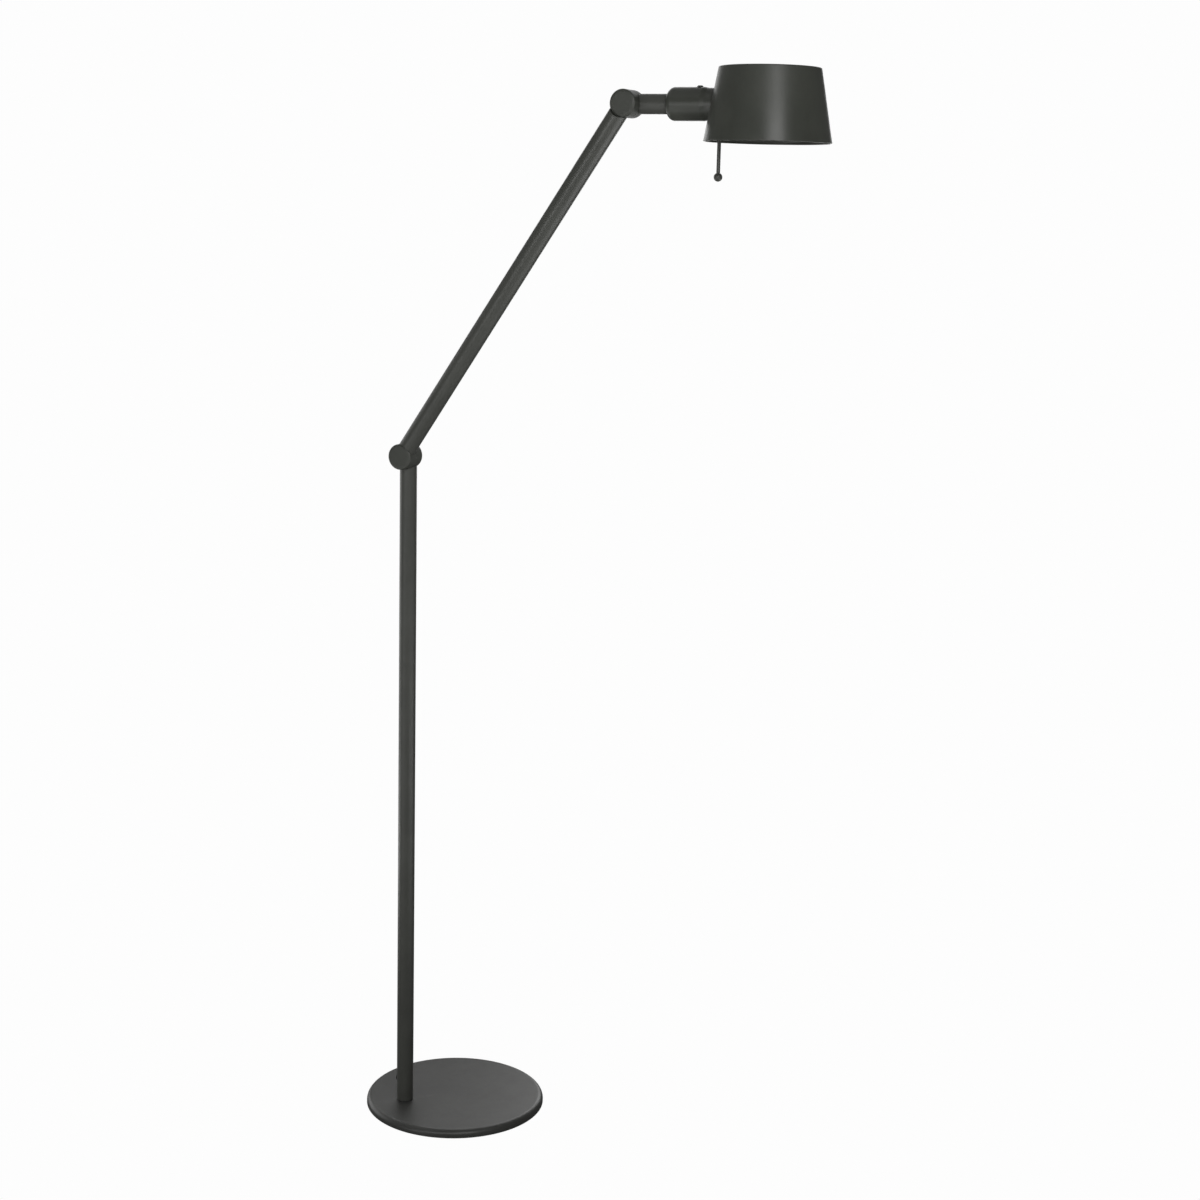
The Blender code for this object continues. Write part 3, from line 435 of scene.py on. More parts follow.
def powder_coat(name, tone, satin=0.41, edge_wear=0.35, dust_axis=None, rub_plane=None,
                glossier_below=None):
    """Satin powder coat: fine orange peel, faint clouds and speckle, edges rubbed lighter.

    satin is its mean roughness, and edge_wear how far its outside edges are rubbed. dust_axis
    names the piece's own axis that faces up, where a little dust lies. rub_plane is the height,
    along local Z, of a face that turns against its neighbour and is polished there.
    glossier_below is a height each side of the piece's middle, over which the coat turns
    glossier downwards.
    """
    look = Look(name, satin)
    clouds = look.spread(look.noise(CLOUD_SIZE, 4.0), 0.35, 0.65)
    dark = tuple(CLOUD_DARK * part for part in tone)
    light = tuple(CLOUD_LIGHT * part for part in tone)
    base = look.mixed(clouds, dark, light)
    speckle = look.spread(look.noise(SPECKLE_SIZE, 1.0), 0.58, 0.72, 0.0, 0.12)
    base = look.mixed(speckle, base, COAT_WORN)
    patchy = look.spread(look.noise(PATCH_SIZE, 4.0, 0.65), 0.42, 0.62)
    if edge_wear:
        wear = look.math("MULTIPLY", look.edges(0.515, 0.56), patchy)
        base = look.mixed(look.math("MULTIPLY", wear, edge_wear), base, COAT_WORN)
    smudges = look.spread(look.noise(SMUDGE_SIZE, 5.0, 0.7), 0.40, 0.72, satin - SMUDGE_SPAN,
                          satin + SMUDGE_SPAN)
    fine = look.spread(look.noise(1.1 * MM, 2.0), 0.3, 0.7, -0.02, 0.03)
    rough = look.math("ADD", smudges, fine)
    if glossier_below:
        fall = look.spread(look.along("Z"), -glossier_below, glossier_below, 0.075, -0.02)
        rough = look.math("SUBTRACT", rough, fall)
    if dust_axis:
        upward = look.spread(look.part_of_normal(dust_axis), 0.80, 1.0)
        lint = look.spread(look.noise(LINT_SIZE, 5.0, 0.8), 0.50, 0.80, 0.0, 0.20)
        dust = look.math("MULTIPLY", upward, lint)
        base = look.mixed(dust, base, COAT_DUST)
        rough = look.math("ADD", rough, look.math("MULTIPLY", dust, 0.4))
    if rub_plane is not None:
        near = look.spread(look.along("Z"), rub_plane, rub_plane + RUBBED_WIDTH, 1.0, 0.0)
        rubbed = look.math("MULTIPLY", near, patchy)
        base = look.mixed(look.math("MULTIPLY", rubbed, 0.5), base, COAT_WORN)
        rough = look.math("SUBTRACT", rough, look.math("MULTIPLY", rubbed, 0.10))
    look.colour(base)
    look.roughness(rough)
    peel = look.noise(PEEL_SIZE, 1.5, 0.4)
    grain = look.noise(GRAIN_SIZE, 1.0)
    look.bumps((peel, PEEL_DEPTH), (grain, GRAIN_DEPTH))
    return look.material


def felt():
    """Pressed felt: two crossed layers of fibres, with darker blotches and a soft sheen."""
    look = Look("pressed_felt", 0.95)
    fibres = look.noise(0.5 * MM, 6.0, 0.75, look.stretched((1.0, 0.35, 1.0)))
    crossed = look.noise(0.5 * MM, 6.0, 0.75, look.stretched((0.35, 1.0, 1.0)))
    nap = look.math("MAXIMUM", fibres, crossed)
    blotches = look.noise(22 * MM, 4.0)
    ground = look.mixed(look.spread(blotches, 0.35, 0.65), FELT_DARK, FELT_BLOTCH)
    look.colour(look.mixed(look.spread(nap, 0.55, 0.80), ground, FELT_FIBRE))
    look.shader.inputs["Sheen Weight"].default_value = 0.35
    look.shader.inputs["Sheen Roughness"].default_value = 0.6
    look.bumps((nap, 0.6 * MM), (blotches, 0.3 * MM))
    return look.material


def metal(name, dark, light, roughness, grain=0.6 * MM, depth=0.006 * MM):
    """Bare or plated metal with fine machining marks, cloudy plating and dull spots."""
    look = Look(name, roughness, 1.0)
    clouds = look.spread(look.noise(6 * MM, 4.0), 0.35, 0.65)
    look.colour(look.mixed(clouds, dark, light))
    marks = look.noise(grain, 3.0, 0.6, look.stretched((1.0, 1.0, 8.0)))
    dull = look.spread(look.noise(2.5 * MM, 4.0, 0.7), 0.35, 0.75, roughness - 0.08,
                       roughness + 0.14)
    look.roughness(dull)
    look.bumps((marks, depth))
    return look.material


def cast_iron():
    """Rough sand-cast iron with a little rust."""
    look = Look("cast_iron", 0.7, 0.6)
    rust = look.spread(look.noise(11 * MM, 6.0, 0.7), 0.52, 0.72, 0.0, 0.45)
    look.colour(look.mixed(rust, IRON_GREY, IRON_RUST))
    sand = look.noise(0.8 * MM, 4.0, 0.7)
    look.roughness(look.spread(sand, 0.3, 0.7, 0.55, 0.85))
    look.bumps((sand, 0.12 * MM))
    return look.material


def moulding(name, dark, light, roughness, grain, depth, swirl=14 * MM):
    """A moulded plastic or rubber part: faint swirls in the colour and a fine mould texture."""
    look = Look(name, roughness)
    flow = look.spread(look.noise(swirl, 5.0, 0.6), 0.35, 0.68)
    look.colour(look.mixed(flow, dark, light))
    texture = look.noise(grain, 2.0)
    look.roughness(look.spread(look.noise(3 * MM, 4.0, 0.7), 0.35, 0.7, roughness - 0.05,
                               roughness + 0.09))
    look.bumps((texture, depth))
    return look.material


def opal():
    """The lamp's milky plastic globe."""
    look = Look("opal_globe", 0.34)
    flow = look.spread(look.noise(18 * MM, 3.0), 0.35, 0.65)
    look.colour(look.mixed(flow, (0.86, 0.86, 0.83), (0.90, 0.90, 0.88)))
    look.shader.inputs["Subsurface Weight"].default_value = 0.6
    look.shader.inputs["Subsurface Scale"].default_value = 2.5 * MM
    look.shader.inputs["Subsurface Radius"].default_value = (1.0, 0.95, 0.85)
    look.roughness(look.spread(look.noise(4 * MM, 4.0, 0.7), 0.35, 0.7, 0.30, 0.42))
    look.bumps((look.noise(0.7 * MM, 1.0), 0.004 * MM))
    return look.material


COAT = powder_coat("powder_coat", SHADE_TONE, 0.36)
COAT_SHADE = powder_coat("powder_coat_shade", SHADE_TONE, dust_axis="Z",
                         glossier_below=SHADE_HEIGHT / 2)
# the base's and the tubes' coats are the shade's coat painted lighter, as painted light
COAT_BASE_PAINTED_LIGHTER = powder_coat("powder_coat_base", BASE_TONE_PAINTED_LIGHTER, dust_axis="Z")
COAT_TUBE_PAINTED_LIGHTER = powder_coat("powder_coat_tube", TUBE_TONE_PAINTED_LIGHTER, edge_wear=0.0)
COAT_KNUCKLE = powder_coat("powder_coat_knuckle", SHADE_TONE, 0.50, rub_plane=0.2 * MM)
COAT_CAP = powder_coat("powder_coat_cap", SHADE_TONE, 0.50)
FELT = felt()
ZINC = metal("zinc_plate", (0.50, 0.50, 0.47), (0.62, 0.62, 0.61), 0.34)
SPRING = metal("spring_steel", (0.30, 0.30, 0.31), (0.42, 0.42, 0.43), 0.32)
BRASS = metal("turned_brass", (0.62, 0.42, 0.17), (0.76, 0.56, 0.27), 0.30)
BARE_ALUMINIUM = metal("rolled_aluminium", (0.62, 0.62, 0.61), (0.74, 0.74, 0.74), 0.36)
IRON = cast_iron()
NYLON = moulding("black_nylon", (0.022, 0.022, 0.023), (0.034, 0.034, 0.035), 0.52, 0.5 * MM,
                 0.01 * MM)
RUBBER = moulding("soft_rubber", (0.020, 0.020, 0.020), (0.034, 0.033, 0.032), 0.72, 0.35 * MM,
                  0.02 * MM)
BAKELITE = moulding("black_phenolic", (0.012, 0.011, 0.010), (0.022, 0.019, 0.017), 0.28, 1.4 * MM,
                    0.004 * MM)
WHITE = moulding("white_moulding", (0.76, 0.755, 0.72), (0.82, 0.815, 0.79), 0.36, 0.8 * MM,
                 0.006 * MM)
LEAD = moulding("lead_insulation", (0.024, 0.024, 0.024), (0.036, 0.036, 0.036), 0.5, 0.7 * MM,
                0.02 * MM)
OPAL = opal()

SLOT_LOOKS = {
    "steel_coat": COAT_TUBE_PAINTED_LIGHTER, "aluminium_coat": COAT, "screw_coat": COAT, "plated_steel": ZINC,
    "spring_steel": SPRING, "cast_iron": IRON, "felt": FELT, "nylon": NYLON, "rubber": RUBBER,
    "brass": BRASS, "bakelite": BAKELITE, "white_moulding": WHITE, "opal": OPAL,
    "lead_insulation": LEAD, "aluminium_bare": BARE_ALUMINIUM,
}


# ---------------------------------------------------------------- base and foot
FOOT_BORE = 13.5 * MM               # radius of the recess under the base
FOOT_CUT = 20 * MM                  # reaches through the base
POLE_CENTRE = Matrix.Translation((POLE_FOOT.x, POLE_FOOT.y, 0))


def spindle_cutter():
    return rod("cutter", SPINDLE_HOLE, 0, FOOT_CUT, POLE_CENTRE)


def pin_cutter():
    """The hole for the pin that stops the pole's turning."""
    return rod("cutter", size("foot_stop_pin").x / 2 + GAP, -FOOT_CUT, FOOT_CUT,
               Matrix.Translation(middle("foot_stop_pin")))


def build_base():
    """The pressed cover, the weight under it, the felt pad and the pole's bearing washer."""
    inner_edge = COVER_EDGE - COVER_WALL
    inner_top = BASE_TOP - COVER_WALL
    skirt_radius = BASE_RADIUS - COVER_WALL
    shell = lathe("base_shell", [
        (0.0, BASE_TOP, 0), (BASE_RADIUS, BASE_TOP, COVER_EDGE), (BASE_RADIUS, RIM_LOW, 0.4 * MM),
        (skirt_radius, RIM_LOW, 0.4 * MM), (skirt_radius, inner_top, inner_edge),
        (0.0, inner_top, 0)], steps=256)
    cut(shell, spindle_cutter(), pin_cutter())
    finished(shell, "base", COAT_BASE_PAINTED_LIGHTER, ["base_cover"])

    low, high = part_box("ballast_disc")
    outer = (high.x - low.x) / 2
    weight = lathe("base_weight", [(0.0, high.z, 0), (outer - WEIGHT_CHAMFER, high.z, MM),
                                   (outer, high.z - WEIGHT_CHAMFER, MM),
                                   (outer, low.z, 0.8 * MM), (0.0, low.z, 0)], steps=192)
    bore_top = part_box("foot_spring_washer")[1].z + 0.1 * MM
    flare = 0.6 * MM                # the counterbore widens over this depth, at 45 degrees
    counterbore = lathe("cutter", [(0.0, bore_top, 0), (FOOT_BORE, bore_top, 0.6 * MM),
                                   (FOOT_BORE, low.z + flare, 0),
                                   (FOOT_BORE + 2 * flare, low.z - flare, 0),
                                   (0.0, low.z - flare, 0)], POLE_CENTRE)
    cut(weight, spindle_cutter(), counterbore, pin_cutter())
    finished(weight, "base", IRON, ["ballast_disc"])

    pad = rod("felt_pad", FELT_RADIUS, 0, FELT_TOP, rounding=0.5 * MM, steps=192)
    cut(pad, rod("cutter", FOOT_BORE + MM, -MM, 3 * MM, POLE_CENTRE))
    finished(pad, "base", FELT, ["base_felt"])

    low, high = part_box("foot_washer")
    washer = ring("foot_bearing", SPINDLE_HOLE, (high.x - low.x) / 2, low.z, high.z, POLE_CENTRE)
    cut(washer, pin_cutter())
    finished(washer, "base", NYLON, ["foot_washer"])


def build_foot_nut():
    """The nut that holds the pole down, seen in the recess of the base's underside."""
    low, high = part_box("foot_lock_nut")
    flats = (high.y - low.y) / 2
    nut = prism("foot_nut", hexagon(flats / cos(pi / 6)), low.z, high.z, POLE_CENTRE)
    face, corner, slope = flats * 1.02, flats * 1.2, 0.9 * MM
    chamfer = lathe("cutter", [(0.0, high.z, 0), (face, high.z, 0), (corner, high.z - slope, 0),
                               (corner, low.z + slope, 0), (face, low.z, 0), (0.0, low.z, 0)],
                    POLE_CENTRE)
    boolean(nut, "INTERSECT", [chamfer])
    cut(nut, spindle_cutter())
    finished(nut, "pole", ZINC, ["foot_lock_nut"], sharp=25)


# ---------------------------------------------------------------- tubes
def lip_outline(inner, outer):
    """The rounded end of a tube's wall, from outside to inside: (radius, depth) pairs."""
    turns = [pi / 2 * k / 4 for k in range(5)]
    outside = [(outer - LIP + LIP * cos(t), LIP - LIP * sin(t)) for t in turns]
    inside = [(inner + LIP - LIP * sin(t), LIP - LIP * cos(t)) for t in turns]
    return outside + inside


def mitred_tube(name, radius, length, place, finish=None, steps=128):
    """A tube along local Z between two pivots at 0 and length, which run along local Y.

    Its start is a fish-mouth round a drum. Its end is one too, unless finish gives the height
    of a square cut.
    """
    lip = lip_outline(radius - TUBE_WALL, radius)
    work = bmesh.new()

    def mouth(ring_radius, turn):
        return sqrt(MOUTH_RADIUS ** 2 - (ring_radius * cos(turn)) ** 2)

    def end_ring(ring_radius, depth, at_start):
        verts = []
        for k in range(steps):
            turn = 2 * pi * k / steps
            if at_start:
                height = mouth(ring_radius, turn) + depth
            elif finish is None:
                height = length - mouth(ring_radius, turn) - depth
            else:
                height = finish - depth
            verts.append(work.verts.new((ring_radius * cos(turn), ring_radius * sin(turn), height)))
        return verts

    rings = [end_ring(ring_radius, depth, True) for ring_radius, depth in reversed(lip)]
    rings += [end_ring(ring_radius, depth, False) for ring_radius, depth in lip]
    skin(work, rings, closed=True)
    return mesh_object(name, work, place)


def build_tubes():
    """Pole, arm and neck, each with fish-mouth ends where it meets a knuckle."""
    pole_place = place_at((LOWER_PIVOT.x, POLE_FOOT.y, LOWER_PIVOT.z), (0, 0, -1), (1, 0, 0))
    pole = mitred_tube("pole", POLE_RADIUS, 0, pole_place, finish=LOWER_PIVOT.z - POLE_START)
    low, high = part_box("cord_grommet")
    inlet = Matrix.Translation((POLE_FOOT.x, POLE_FOOT.y, (low.z + high.z) / 2))
    inlet = inlet @ Matrix.Rotation(-pi / 2, 4, "Y")
    cut(pole, rod("cutter", INLET_HOLE, 0, 20 * MM, inlet))
    finished(pole, "pole", COAT_TUBE_PAINTED_LIGHTER, ["pole_tube"])

    arm_y = middle("arm_tube").y
    arm_place = place_at((LOWER_PIVOT.x, arm_y, LOWER_PIVOT.z), ARM_DIRECTION,
                         Vector((0, 1, 0)).cross(ARM_DIRECTION))
    arm = mitred_tube("arm", ARM_RADIUS, ARM_LENGTH, arm_place)
    finished(arm, "arm", COAT_TUBE_PAINTED_LIGHTER, ["arm_tube"])

    neck_place = place_at(NECK_AXIS, (1, 0, 0), (0, 0, 1))
    neck = mitred_tube("neck", NECK_RADIUS, 0, neck_place, finish=NECK_END - NECK_AXIS.x)
    finished(neck, "neck", COAT_TUBE_PAINTED_LIGHTER, ["neck_tube"])

    build_inlet_bush(inlet)


def build_inlet_bush(inlet):
    """The rubber bush in the pole's inlet: a low flange outside and a sleeve through the wall."""
    bore, sleeve, flange = 2.4 * MM, 3.9 * MM, 4.9 * MM
    face = POLE_RADIUS + 0.75 * MM
    under_flange = POLE_RADIUS + 0.25 * MM
    inner_end = POLE_RADIUS - TUBE_WALL - 2.2 * MM
    bush = lathe("inlet_bush", [
        (bore, face, 0.3 * MM), (flange, face, 0.4 * MM), (flange, under_flange, 0),
        (sleeve, under_flange, 0.1 * MM), (sleeve, inner_end, 0.3 * MM),
        (bore, inner_end, 0.3 * MM)], inlet, closed=True, steps=64)
    finished(bush, "pole", RUBBER, ["cord_grommet"])


# ---------------------------------------------------------------- knuckles
STOP_OFFSET = 12.0 * MM             # of the stop pin from the pivot line
STOP_HOLE = 1.7 * MM                # radius
STOP_PLAY = 2.0                     # degrees past the joint's limit, for the slots' ends
CUP_FLOOR = 2.7 * MM
DRUM_RIM = 0.15 * MM                # the cup's face lies this far from the mating plane
WASHER_RECESS = 9.7 * MM            # radius
LEAD_BORE = 4.6 * MM                # radius of the lead's way through the plug
WEB_SIDE = 7.5 * MM                 # half the width of the web between drum and plug
CAP_SKIRT = 2.6 * MM                # the cap's skirt goes this deep into the cup
CAP_SKIRT_WALL = 1.6 * MM


def half_knuckle(prefix, place, tube_radius):
    """The cup that carries a tube's plug, and the cap that closes it.

    Local Z is the pivot line, from the mating plane outwards, and the tube runs along local X.
    """
    inner = DRUM_RADIUS - DRUM_SHELL
    recess = DRUM_RIM + 0.5 * MM
    cup = lathe(prefix + "_drum", [
        (DRUM_RADIUS, DRUM_SEAM - GAP / 2, 0.1 * MM), (DRUM_RADIUS, DRUM_RIM, 0.3 * MM),
        (WASHER_RECESS, DRUM_RIM, 0.15 * MM), (WASHER_RECESS, recess, 0.1 * MM),
        (SPINDLE_HOLE, recess, 0.15 * MM), (SPINDLE_HOLE, CUP_FLOOR, 0.15 * MM),
        (inner, CUP_FLOOR, 0.5 * MM), (inner, DRUM_SEAM - GAP / 2, 0.2 * MM)], place, closed=True)
    along = place @ place_at((0, 0, DRUM_DEPTH / 2), (1, 0, 0), (0, 0, 1))
    plug = rod("plug", tube_radius - TUBE_WALL - GAP, 10 * MM, 40 * MM, along, 0.6 * MM)
    cut(plug, rod("cutter", MOUTH_RADIUS, -60 * MM, 60 * MM, place, steps=128))
    web = block("web", (inner + MM, -WEB_SIDE, 1.9 * MM),
                (24 * MM, WEB_SIDE, DRUM_SEAM - 0.5 * MM), place)
    join(plug, web)
    join(cup, plug)
    cut(cup, rod("cutter", LEAD_BORE, 9 * MM, 50 * MM, along))

    seam = DRUM_SEAM + GAP / 2
    skirt = inner - GAP
    skirt_end = seam - CAP_SKIRT
    crown = [(DRUM_RADIUS - CROWN_WIDTH * (1 - cos(turn)),
              DRUM_DEPTH - CROWN_DEPTH * (1 - sin(turn)), 0)
             for turn in (pi / 2 * (1 - k / 12) for k in range(13))]
    cap = lathe(prefix + "_cap", [
        (0.0, DRUM_DEPTH, 0), *crown, (DRUM_RADIUS, seam, 0.1 * MM), (skirt, seam, 0),
        (skirt, skirt_end, 0.3 * MM), (skirt - CAP_SKIRT_WALL, skirt_end, 0.3 * MM),
        (skirt - CAP_SKIRT_WALL, seam, 0), (0.0, seam, 0)], place)
    cut(cap, block("cutter", (8 * MM, -7 * MM, 5 * MM), (20 * MM, 7 * MM, seam), place))
    return cup, cap


def stop_slot(pin, place, facing, turn_range):
    """The cutter for the curved slot that a stop pin runs in, for a joint that turns about +Y.

    facing is +1 for a half that faces +Y and -1 for one that faces -Y.
    """
    local = place.inverted() @ Vector((pin.x, place.translation.y, pin.z))
    rest = degrees(Vector((1, 0)).angle_signed(local.xy)) * -1
    margin = degrees(asin(STOP_HOLE / STOP_OFFSET)) + STOP_PLAY
    ends = sorted(rest - facing * turn for turn in turn_range)
    start, end = ends[0] - margin, ends[1] + margin
    outline = arc(STOP_OFFSET + STOP_HOLE, start, end, 36)
    outline += arc(STOP_OFFSET - STOP_HOLE, end, start, 36)
    return prism("cutter", outline, -MM, 6 * MM, place)


def build_knuckles():
    """Two halves at each elbow, one with the stop pin's hole and one with its slot."""
    toward_pole = (0, 0, -1)
    halves = [
        ("pole", "pole_knuckle", "pole", LOWER_PIVOT, 1, toward_pole, POLE_RADIUS, None),
        ("arm_lower", "arm_lower_knuckle", "arm", LOWER_PIVOT, -1, ARM_DIRECTION, ARM_RADIUS,
         "lower_elbow"),
        ("arm_upper", "arm_upper_knuckle", "arm", UPPER_PIVOT, -1, -ARM_DIRECTION, ARM_RADIUS,
         None),
        ("neck", "neck_knuckle", "neck", UPPER_PIVOT, 1, (1, 0, 0), NECK_RADIUS, "upper_elbow"),
    ]
    for prefix, node, body, pivot, facing, tube_way, radius, slotted_for in halves:
        place = place_at(pivot, (0, facing, 0), tube_way)
        cup, cap = half_knuckle(prefix, place, radius)
        pin = middle("lower_stop_pin" if pivot == LOWER_PIVOT else "upper_stop_pin")
        if slotted_for:
            cut(cup, stop_slot(pin, place, facing, JOINTS[slotted_for]["range_deg"]))
        else:
            pin_place = Matrix.Translation((pin.x, pivot.y, pin.z))
            pin_place = pin_place @ Matrix.Rotation(pi / 2, 4, "X")
            cut(cup, rod("cutter", STOP_HOLE, -6 * MM, 6 * MM, pin_place))
        finished(cup, body, COAT_KNUCKLE, [node])
        finished(cap, body, COAT_CAP, [node + "_cap"])


# ---------------------------------------------------------------- head
HOUSING_FLOOR = 2.5 * MM
COLLAR_GAP = 0.02 * MM              # between the housing and the collar, which look like one
SEAM_EDGE = 0.12 * MM
COLLAR_TAPER = 6.0 * MM             # the collar narrows from the housing's radius over this
SCREW_SHANK = 2.0 * MM
SCREW_HOLE = 2.3 * MM
SCREW_HEAD = 4.3 * MM               # radii, all three


def build_housing():
    """The lampholder's housing, with the slot for the head's stop and the clamp screw's hole."""
    inner = HOUSING_RADIUS - HOUSING_WALL
    floor = HOUSING_START + HOUSING_FLOOR
    end = COLLAR_START - COLLAR_GAP
    housing = lathe("housing", [
        (SPINDLE_HOLE, HOUSING_START, 0.2 * MM), (HOUSING_RADIUS, HOUSING_START, HOUSING_SHOULDER),
        (HOUSING_RADIUS, end, SEAM_EDGE), (inner, end, SEAM_EDGE),
        (inner, floor, HOUSING_SHOULDER - HOUSING_WALL), (SPINDLE_HOLE, floor, 0.2 * MM)],
        NECK, closed=True, steps=160)
    offset = (middle("head_stop_pin") - NECK_AXIS).z
    hole = 1.4 * MM
    roll = JOINTS["head_roll"]["range_deg"]
    margin = degrees(asin(hole / offset)) + STOP_PLAY
    outline = arc(offset + hole, roll[0] - margin, roll[1] + margin, 48)
    outline += arc(offset - hole, roll[1] + margin, roll[0] - margin, 48)
    slot_cutter = prism("cutter", outline, HOUSING_START - MM, floor + MM, NECK)
    screw_place = Matrix.Translation((middle("clamp_screw").x, NECK_AXIS.y, NECK_AXIS.z))
    cut(housing, slot_cutter, rod("cutter", SCREW_HOLE, 0, 40 * MM, screw_place))
    finished(housing, "head", COAT, ["head_housing"])
    build_clamp_screw(screw_place)


def build_clamp_screw(screw_place):
    """The low screw on top of the housing, with a hexagon socket."""
    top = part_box("clamp_screw")[1].z - NECK_AXIS.z
    low = HOUSING_RADIUS + 0.1 * MM
    screw = lathe("clamp_button", [
        (0.0, top, 0), (2.9 * MM, top, 0.9 * MM), (SCREW_HEAD, low + 0.5 * MM, 0.4 * MM),
        (SCREW_HEAD, low, 0), (SCREW_SHANK, low, 0),
        (SCREW_SHANK, SLEEVE_RADIUS + GAP, 0.2 * MM), (0.0, SLEEVE_RADIUS + GAP, 0)],
        screw_place, steps=64)
    cut(screw, prism("cutter", hexagon(1.3 * MM), top - MM, top + MM, screw_place),
        ring("cutter", SCREW_SHANK, HOUSING_RADIUS + 0.15 * MM, 80 * MM, 130 * MM, NECK, 0.0))
    finished(screw, "head", COAT, ["clamp_screw"], sharp=35)


def cone_radius(height, offset=0.0):
    """The shade's outer radius at a height from its middle, moved outwards by the offset."""
    taper = (SHADE_BOTTOM_RADIUS - SHADE_TOP_RADIUS) / SHADE_HEIGHT
    return SHADE_TOP_RADIUS + taper * (SHADE_HEIGHT / 2 - height) + offset * sqrt(1 + taper ** 2)


def shade_cone(offset):
    """A solid cone parallel to the shade's wall, for trimming what meets it."""
    half = SHADE_HEIGHT / 2
    return lathe("cutter", [(0.0, half, 0), (cone_radius(half, offset), half, 0),
                            (cone_radius(-half, offset), -half, 0), (0.0, -half, 0)], SHADE,
                 steps=256)


def build_shade():
    """The shade with its rolled rim, and the collar that joins it to the housing."""
    half = SHADE_HEIGHT / 2
    corner = cone_radius(half - SHADE_EDGE)
    rim = cone_radius(-half)
    hem_inner = rim - 2 * SHADE_HEM
    hem_top = -half + 1.9 * SHADE_HEM
    wall_start = -half + 2.4 * SHADE_HEM
    shade = lathe("shade_shell", [
        (0.0, half, 0), (corner, half, SHADE_EDGE), (rim, -half, HEM_EDGE),
        (hem_inner, -half, HEM_EDGE), (hem_inner, hem_top, 0.5 * MM),
        (cone_radius(wall_start) - SHADE_WALL, wall_start, 0.3 * MM),
        (corner - SHADE_WALL, half - SHADE_WALL, SHADE_EDGE - SHADE_WALL),
        (0.0, half - SHADE_WALL, 0)], SHADE, steps=256)
    cut(shade, rod("cutter", SLEEVE_RADIUS + 0.5 * MM, 100 * MM, 150 * MM, NECK, steps=128))
    finished(shade, "head", COAT_SHADE, ["shade"])

    inner = SLEEVE_RADIUS + GAP
    collar = lathe("collar", [
        (HOUSING_RADIUS, COLLAR_START, SEAM_EDGE),
        (COLLAR_RADIUS, COLLAR_START + COLLAR_TAPER, 5 * MM),
        (COLLAR_RADIUS, COLLAR_END, 0), (inner, COLLAR_END, 0), (inner, COLLAR_START, 0)], NECK,
        closed=True, steps=160)
    cut(collar, shade_cone(GAP))
    finished(collar, "head", COAT, ["shade_collar"])


def build_lampholder():
    """The lampholder's black skirt with its outside thread, and the ring that grips the shade."""
    inner = 13.8 * MM
    back = 118.0 * MM
    pitch = 2.2 * MM
    crest = SLEEVE_RADIUS
    root = SLEEVE_RADIUS - 0.7 * MM
    corners = [(inner, SLEEVE_END, 0.4 * MM), (crest - 0.2 * MM, SLEEVE_END, 0.5 * MM)]
    height = SLEEVE_END - 1.6 * MM
    while height > RING_END + pitch:
        corners += [(crest, height, 0.25 * MM), (crest, height - pitch * 0.35, 0.25 * MM),
                    (root, height - pitch * 0.6, 0.2 * MM), (root, height - pitch * 0.75, 0.2 * MM)]
        height -= pitch
    corners += [(crest, height, 0.2 * MM), (crest, SLEEVE_START, 0.5 * MM),
                (16.0 * MM, SLEEVE_START, 0.3 * MM), (16.0 * MM, back, 0.3 * MM),
                (inner, back + 2 * MM, 0.3 * MM)]
    sleeve = lathe("sleeve", corners, NECK, closed=True)
    finished(sleeve, "head", BAKELITE, ["lampholder_sleeve"])

    nut = ring("shade_nut", SLEEVE_RADIUS + GAP, RING_RADIUS, RING_START, RING_END, NECK, 0.7 * MM)
    grips = 16
    for k in range(grips):
        grip = NECK @ Matrix.Rotation((k + 0.5) * 2 * pi / grips, 4, "Z")
        grip = grip @ Matrix.Translation((RING_RADIUS + 0.9 * MM, 0, 0))
        cut(nut, rod("cutter", 1.8 * MM, 130 * MM, 145 * MM, grip, steps=32))
    finished(nut, "head", BAKELITE, ["shade_ring"], sharp=35)

    saddle = ring("saddle", SLEEVE_RADIUS + GAP, RING_RADIUS, 100 * MM, RING_START - GAP, NECK,
                  0.3 * MM)
    entry = Matrix.Translation(NECK_AXIS)
    outside = block("cutter", (100 * MM, -40 * MM, -40 * MM), (150 * MM, 40 * MM, 40 * MM), entry)
    cut(outside, shade_cone(-SHADE_WALL - GAP))
    switch_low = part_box("switch_body")[0].x - NECK_AXIS.x - GAP
    cut(saddle, outside, block("cutter", (switch_low, -7.4 * MM, -40 * MM),
                               (150 * MM, 7.4 * MM, 0), entry))
    finished(saddle, "head", NYLON, ["shade_saddle"])


